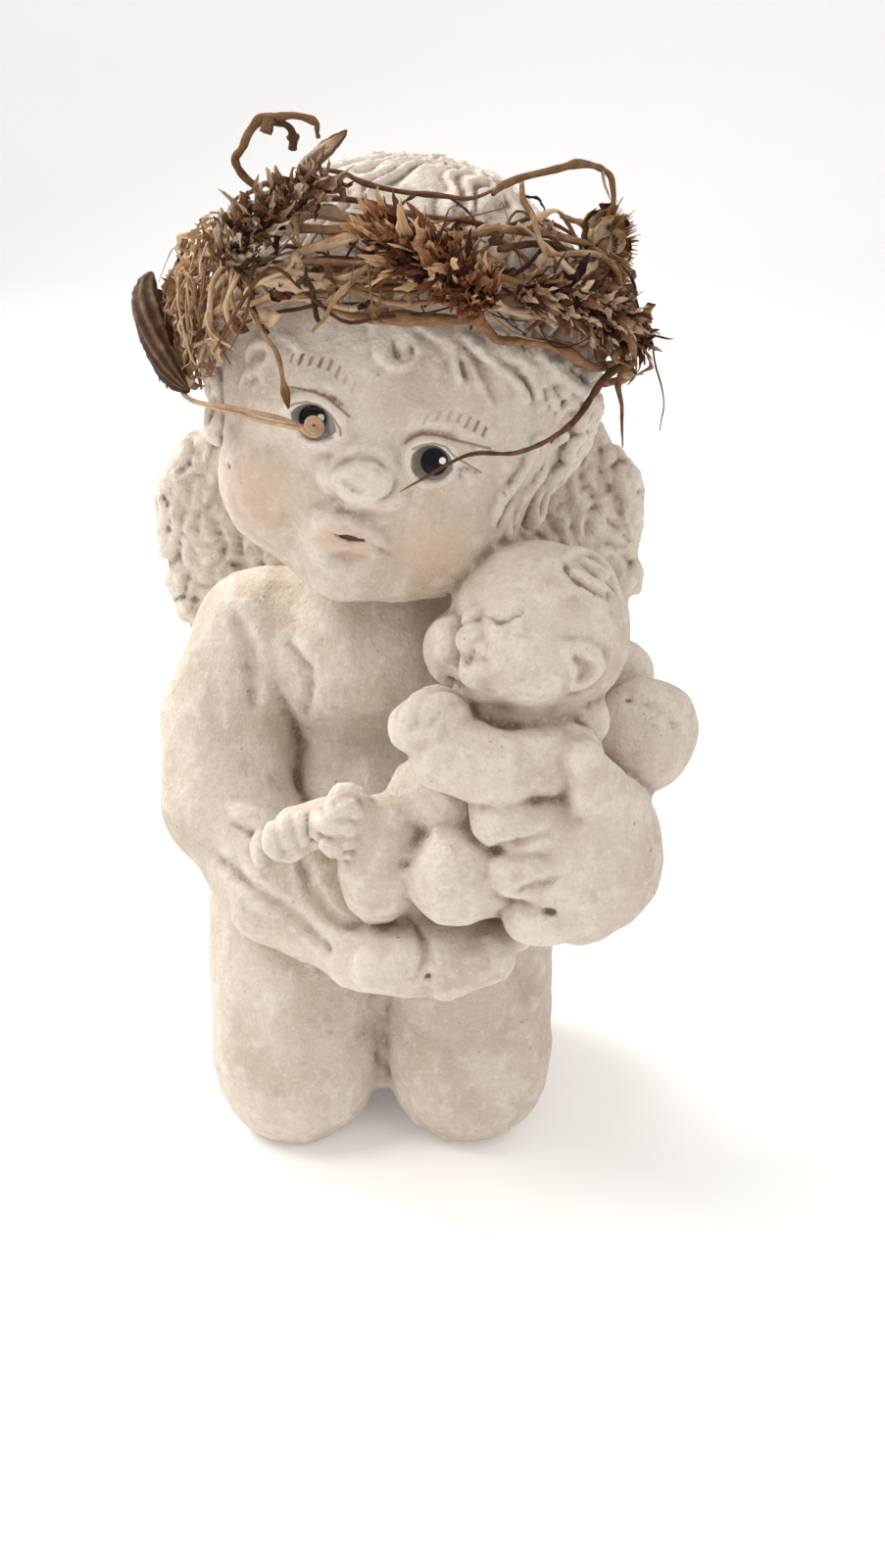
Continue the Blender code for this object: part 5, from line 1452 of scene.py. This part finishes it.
def makeStems(finish):
    # the loops over the wreath
    b = Bundle()
    b.twig([(-12.7, -17.5, 126.5), (-13.2, -18.0, 127.5), (-14.7, -18.6, 129.0), (-15.0, -19.0, 130.3),
            (-14.1, -19.2, 131.5), (-13.3, -19.4, 132.9), (-12.0, -19.6, 134.1), (-10.0, -19.8, 134.4),
            (-8.2, -20.0, 134.5), (-6.5, -20.2, 134.0), (-5.9, -20.4, 133.0), (-5.8, -20.4, 132.2)],
           stemLook["leftLoop"], 0.5, count=70, ends=(0.9, 0.45), sides=8, kinks=0.08)
    b.twig([(-11.6, -19.8, 134.0), (-10.2, -19.4, 133.9), (-9.1, -19.0, 133.4), (-8.8, -18.4, 132.5),
            (-8.9, -17.6, 131.3)], 0.95, 0.4, count=24, ends=(0.8, 1.0), sides=8, kinks=0.08)
    b.blade(smoothRoute([(-10.9, -20.2, 134.2), (-11.2, -20.8, 133.3), (-10.8, -21.0, 132.5)], 8), 1.6,
            np.array([-0.3, -1, 0.2]), 0.4, crumple=0.15)
    b.finish("vine_loop_left", finish, "vine_loop_left", "dried_vine")

    b = Bundle()
    b.twig(tuckedRoute([(26, 8.7), (33, 10.5)],
                       [(19.6, -18.6, 129.2), (23.6, -14.4, 129.9), (26.6, -11.6, 129), (27.3, -12, 126.6),
                        (26.4, -12.8, 124.4)]),
           stemLook["rightLoop"], 0.55, count=60, ends=(0.7, 0.7), sides=8, kinks=0.1)
    b.twig([(25.8, -12.4, 129.3), (26.2, -12.7, 127.8), (26.9, -12.6, 126.2)], 0.4, 0.85, count=16)
    b.finish("vine_loop_right", finish, "vine_loop_right", "dried_vine")

    # the stem whose end is rolled up before one eye
    b = Bundle()
    route = smoothRoute(tuckedRoute([(-62, -9.3)], [(-21.6, -20.4, 104.9), (-15.6, -24.8, 104.4),
                                                    (-10.4, -27, 103.6), (-7.6, -27.8, 102.6)]), 44)
    size = np.interp(evenly(44), [0, 0.3, 0.7, 1], [0.3, 0.5, 0.48, 0.42])
    b.tube(route, size, 0.82, sides=8, flat=0.6)
    second = route[14:] + np.outer(np.sin(np.linspace(0, math.pi, 30)), [0.1, -0.1, -0.75])
    b.tube(second, 0.30, 0.9, sides=6)
    heart = np.array([-6.7, -28.2, 103.0])
    across, tall = np.array([0.98, 0.1, -0.1]), np.array([0.0, 0.28, 0.96])
    a = np.linspace(0, 2 * math.pi * stemLook["spiral"], 70)
    reach = np.interp(a, [0, a[-1]], [1.02, 0.18])
    start = math.radians(215)
    coil = heart + np.outer(reach * np.cos(start + a), across) + np.outer(reach * np.sin(start + a), tall)
    coil += np.outer(evenly(70), [0, -0.35, 0])
    link = smoothRoute([route[-3], (route[-1] + coil[0]) / 2 + np.array([0, 0, -0.15]), coil[0]], 8)
    size = np.r_[np.full(7, 0.40), np.linspace(0.40, 0.26, 70)]
    b.tube(np.vstack([link[:-1], coil]), size, 0.85, sides=8)
    b.finish("stem_with_curl", finish, "stem_with_curl", "dried_vine")

    # the long one over the cheek, with its hook and side shoots
    b = Bundle()
    cheek = tuckedRoute([(66, -7.8)], [(27, -15.6, 107), (22.4, -21.6, 102.2), (16.4, -26.6, 99.9),
                                       (10.6, -28.6, 99.9), (5.4, -29.6, 97.4), (2.8, -29.8, 96)])
    route = smoothRoute(cheek, 80)
    t = evenly(80)
    size = np.interp(t, [0, 0.08, 0.3, 0.42, 0.75, 1], [0.4, 0.52, 0.42, 0.28, 0.2, 0.10])
    b.tube(route, size * (1 + 0.08 * wander(80, 1, 2)), 0.42 + 0.12 * wander(80, 1, 6), sides=8)
    for i, go in ((12, (-0.8, 0.4, 1.6)), (26, (0.9, 0.3, 1.0)), (31, (-0.4, -0.3, -0.7))):
        b.tube(route[i] + np.outer(evenly(6), go), np.linspace(0.28, 0.08, 6), 0.35, sides=6)
    b.twig([route[4], (28.4, -15, 109.8), (30.4, -14.6, 109.9), (31, -15, 108.2), (30, -15.4, 106.6)],
           0.36, 0.2, count=30)
    b.twig([route[2], (28.6, -14.4, 106.4), (29, -14.8, 102.4), (29.4, -15, 98.6)], 0.66, 0.45, count=30)
    b.finish("stem_over_cheek", finish, "stem_over_cheek", "dried_vine")

    # the one that hangs over the brow, with a bud at its end
    b = Bundle()
    route = smoothRoute(tuckedRoute([(-36, -3.4), (-31, -4.0)],
                                    [(-11.9, -27.2, 112.6), (-10.4, -28, 110.6), (-9.8, -28.2, 107.4),
                                     (-9.4, -28, 104.8)]), 40)
    t = evenly(40)
    size = np.interp(t, [0, 0.3, 0.55, 0.75, 0.86, 0.93, 1], [0.16, 0.2, 0.32, 0.28, 0.52, 0.42, 0.1])
    tone = np.interp(t, [0, 0.5, 0.8, 1], [0.4, 0.7, 0.6, 0.25])
    b.tube(route, size * (1 + 0.10 * wander(40, 1, 2)), tone, sides=8)
    b.finish("stem_with_bud", finish, "stem_with_bud", "dried_vine")

    # the tendril at the side
    b = Bundle()
    b.twig(tuckedRoute([(76, -2.5), (84, -4.5)],
                       [(34, -6.6, 107.6), (35.2, -7.6, 103), (34.8, -8.2, 99.6)]),
           0.28, 0.3, count=50, ends=(1.0, 0.5))
    b.finish("tendril_right", finish, "tendril_right", "dried_vine")


dryColours = {                # from dark to pale: a place along the tone and the colour there
    "dried vine": ((0, (38, 23, 14)), (0.35, (90, 60, 38)), (0.65, (142, 105, 73)), (1, (210, 180, 146))),
    "dried leaf": ((0, (32, 20, 13)), (0.45, (78, 54, 36)), (1, (150, 118, 88))),
    "seed head": ((0, (48, 28, 14)), (0.35, (132, 88, 48)), (0.6, (186, 148, 100)), (1, (226, 210, 184))),
    "rust flower": ((0, (40, 20, 11)), (0.4, (104, 60, 34)), (0.75, (150, 98, 60)), (1, (206, 168, 128))),
    "grey flower": ((0, (46, 28, 17)), (0.35, (112, 78, 50)), (0.7, (164, 132, 102)), (1, (214, 196, 172))),
    "brown flower": ((0, (34, 17, 9)), (0.35, (86, 52, 31)), (0.7, (138, 98, 68)), (1, (206, 178, 150))),
}
dry = {name: dryFinish(name, stops) for name, stops in dryColours.items()}
makeWreath(dry["dried vine"])
makeFlower("flower_head_front", dry["rust flower"], "rust_flower")
makeFlower("flower_head_right", dry["brown flower"], "grey_flower")
makeFlower("flower_head_left", dry["grey flower"], "grey_flower")
makeSeedHead(dry["seed head"])
makeCurledLeaf(dry["dried leaf"])
makeStems(dry["dried vine"])
print("wreath in place")


# Floor, light and camera

stageLook = {
    "floor": (0.95, 0.947, 0.94),
    "glow": 0.12,            # keeps the floor pale where no lamp reaches
    "world": 0.66,
    "key": 1.05,
    "rim": 2.5,
    "fill": 0.36,
}


def seenFrom(item, target):
    item.rotation_mode = "QUATERNION"
    item.rotation_quaternion = (Vector(target) - item.location).to_track_quat("-Z", "Y")


def softLight(name, place, size, energy, tint):
    data = bpy.data.lights.new(name, "AREA")
    data.energy = energy
    data.size = size
    data.color = tint
    made = placed(name, data)
    made.location = place
    seenFrom(made, (0, 0, 0.07))


floorData = bpy.data.meshes.new("floor")
floorSide = 2.6
sweep = [(-2.4, -0.00002), (0.35, -0.00002), (0.55, 0.02), (0.72, 0.09), (0.84, 0.22), (0.9, 0.42),
         (0.9, 2.4)]                     # how the floor runs back and rises to the backdrop
corners = [(x, y, z) for y, z in sweep for x in (-floorSide, floorSide)]
strips = [(2 * k, 2 * k + 1, 2 * k + 3, 2 * k + 2) for k in range(len(sweep) - 1)]
floorData.from_pydata(corners, [], strips)
floorFinish = Finish("floor")
floorFinish.shader.inputs["Base Color"].default_value = (*stageLook["floor"], 1.0)
floorFinish.shader.inputs["Emission Color"].default_value = (1.0, 1.0, 1.0, 1.0)
floorFinish.shader.inputs["Emission Strength"].default_value = stageLook["glow"]
floorFinish.shader.inputs["Roughness"].default_value = 0.95
floorFinish.shader.inputs["Specular IOR Level"].default_value = 0.1
floorData.materials.append(floorFinish.made)
floorData.shade_smooth()
floor = placed("floor", floorData)

world = bpy.data.worlds.new("studio")
bpy.context.scene.world = world
world.use_nodes = True
world.node_tree.nodes["Background"].inputs[0].default_value = (1.0, 0.99, 0.975, 1.0)
world.node_tree.nodes["Background"].inputs[1].default_value = stageLook["world"]
for name, at, size, tint in (("key", (-0.35, -0.08, 0.47), 0.20, (1.0, 0.985, 0.96)),
                             ("rim", (-0.30, 0.26, 0.44), 0.25, (1.0, 0.99, 0.98)),
                             ("fill", (0.24, -0.22, 0.42), 0.30, (1.0, 0.985, 0.96))):
    softLight(name, at, size, stageLook[name], tint)

camera = bpy.data.cameras.new("camera")
camera.sensor_fit = "VERTICAL"
camera.sensor_height = 32
camera.lens = 28
camera.clip_start = 0.01
eye = placed("camera", camera)
eye.location = Vector(standAt) + Vector(viewEye) * unit
eye.rotation_euler = (math.radians(67.5), 0, 0)
bpy.context.scene.camera = eye
bpy.context.scene.view_settings.view_transform = "Standard"
print("stage ready")
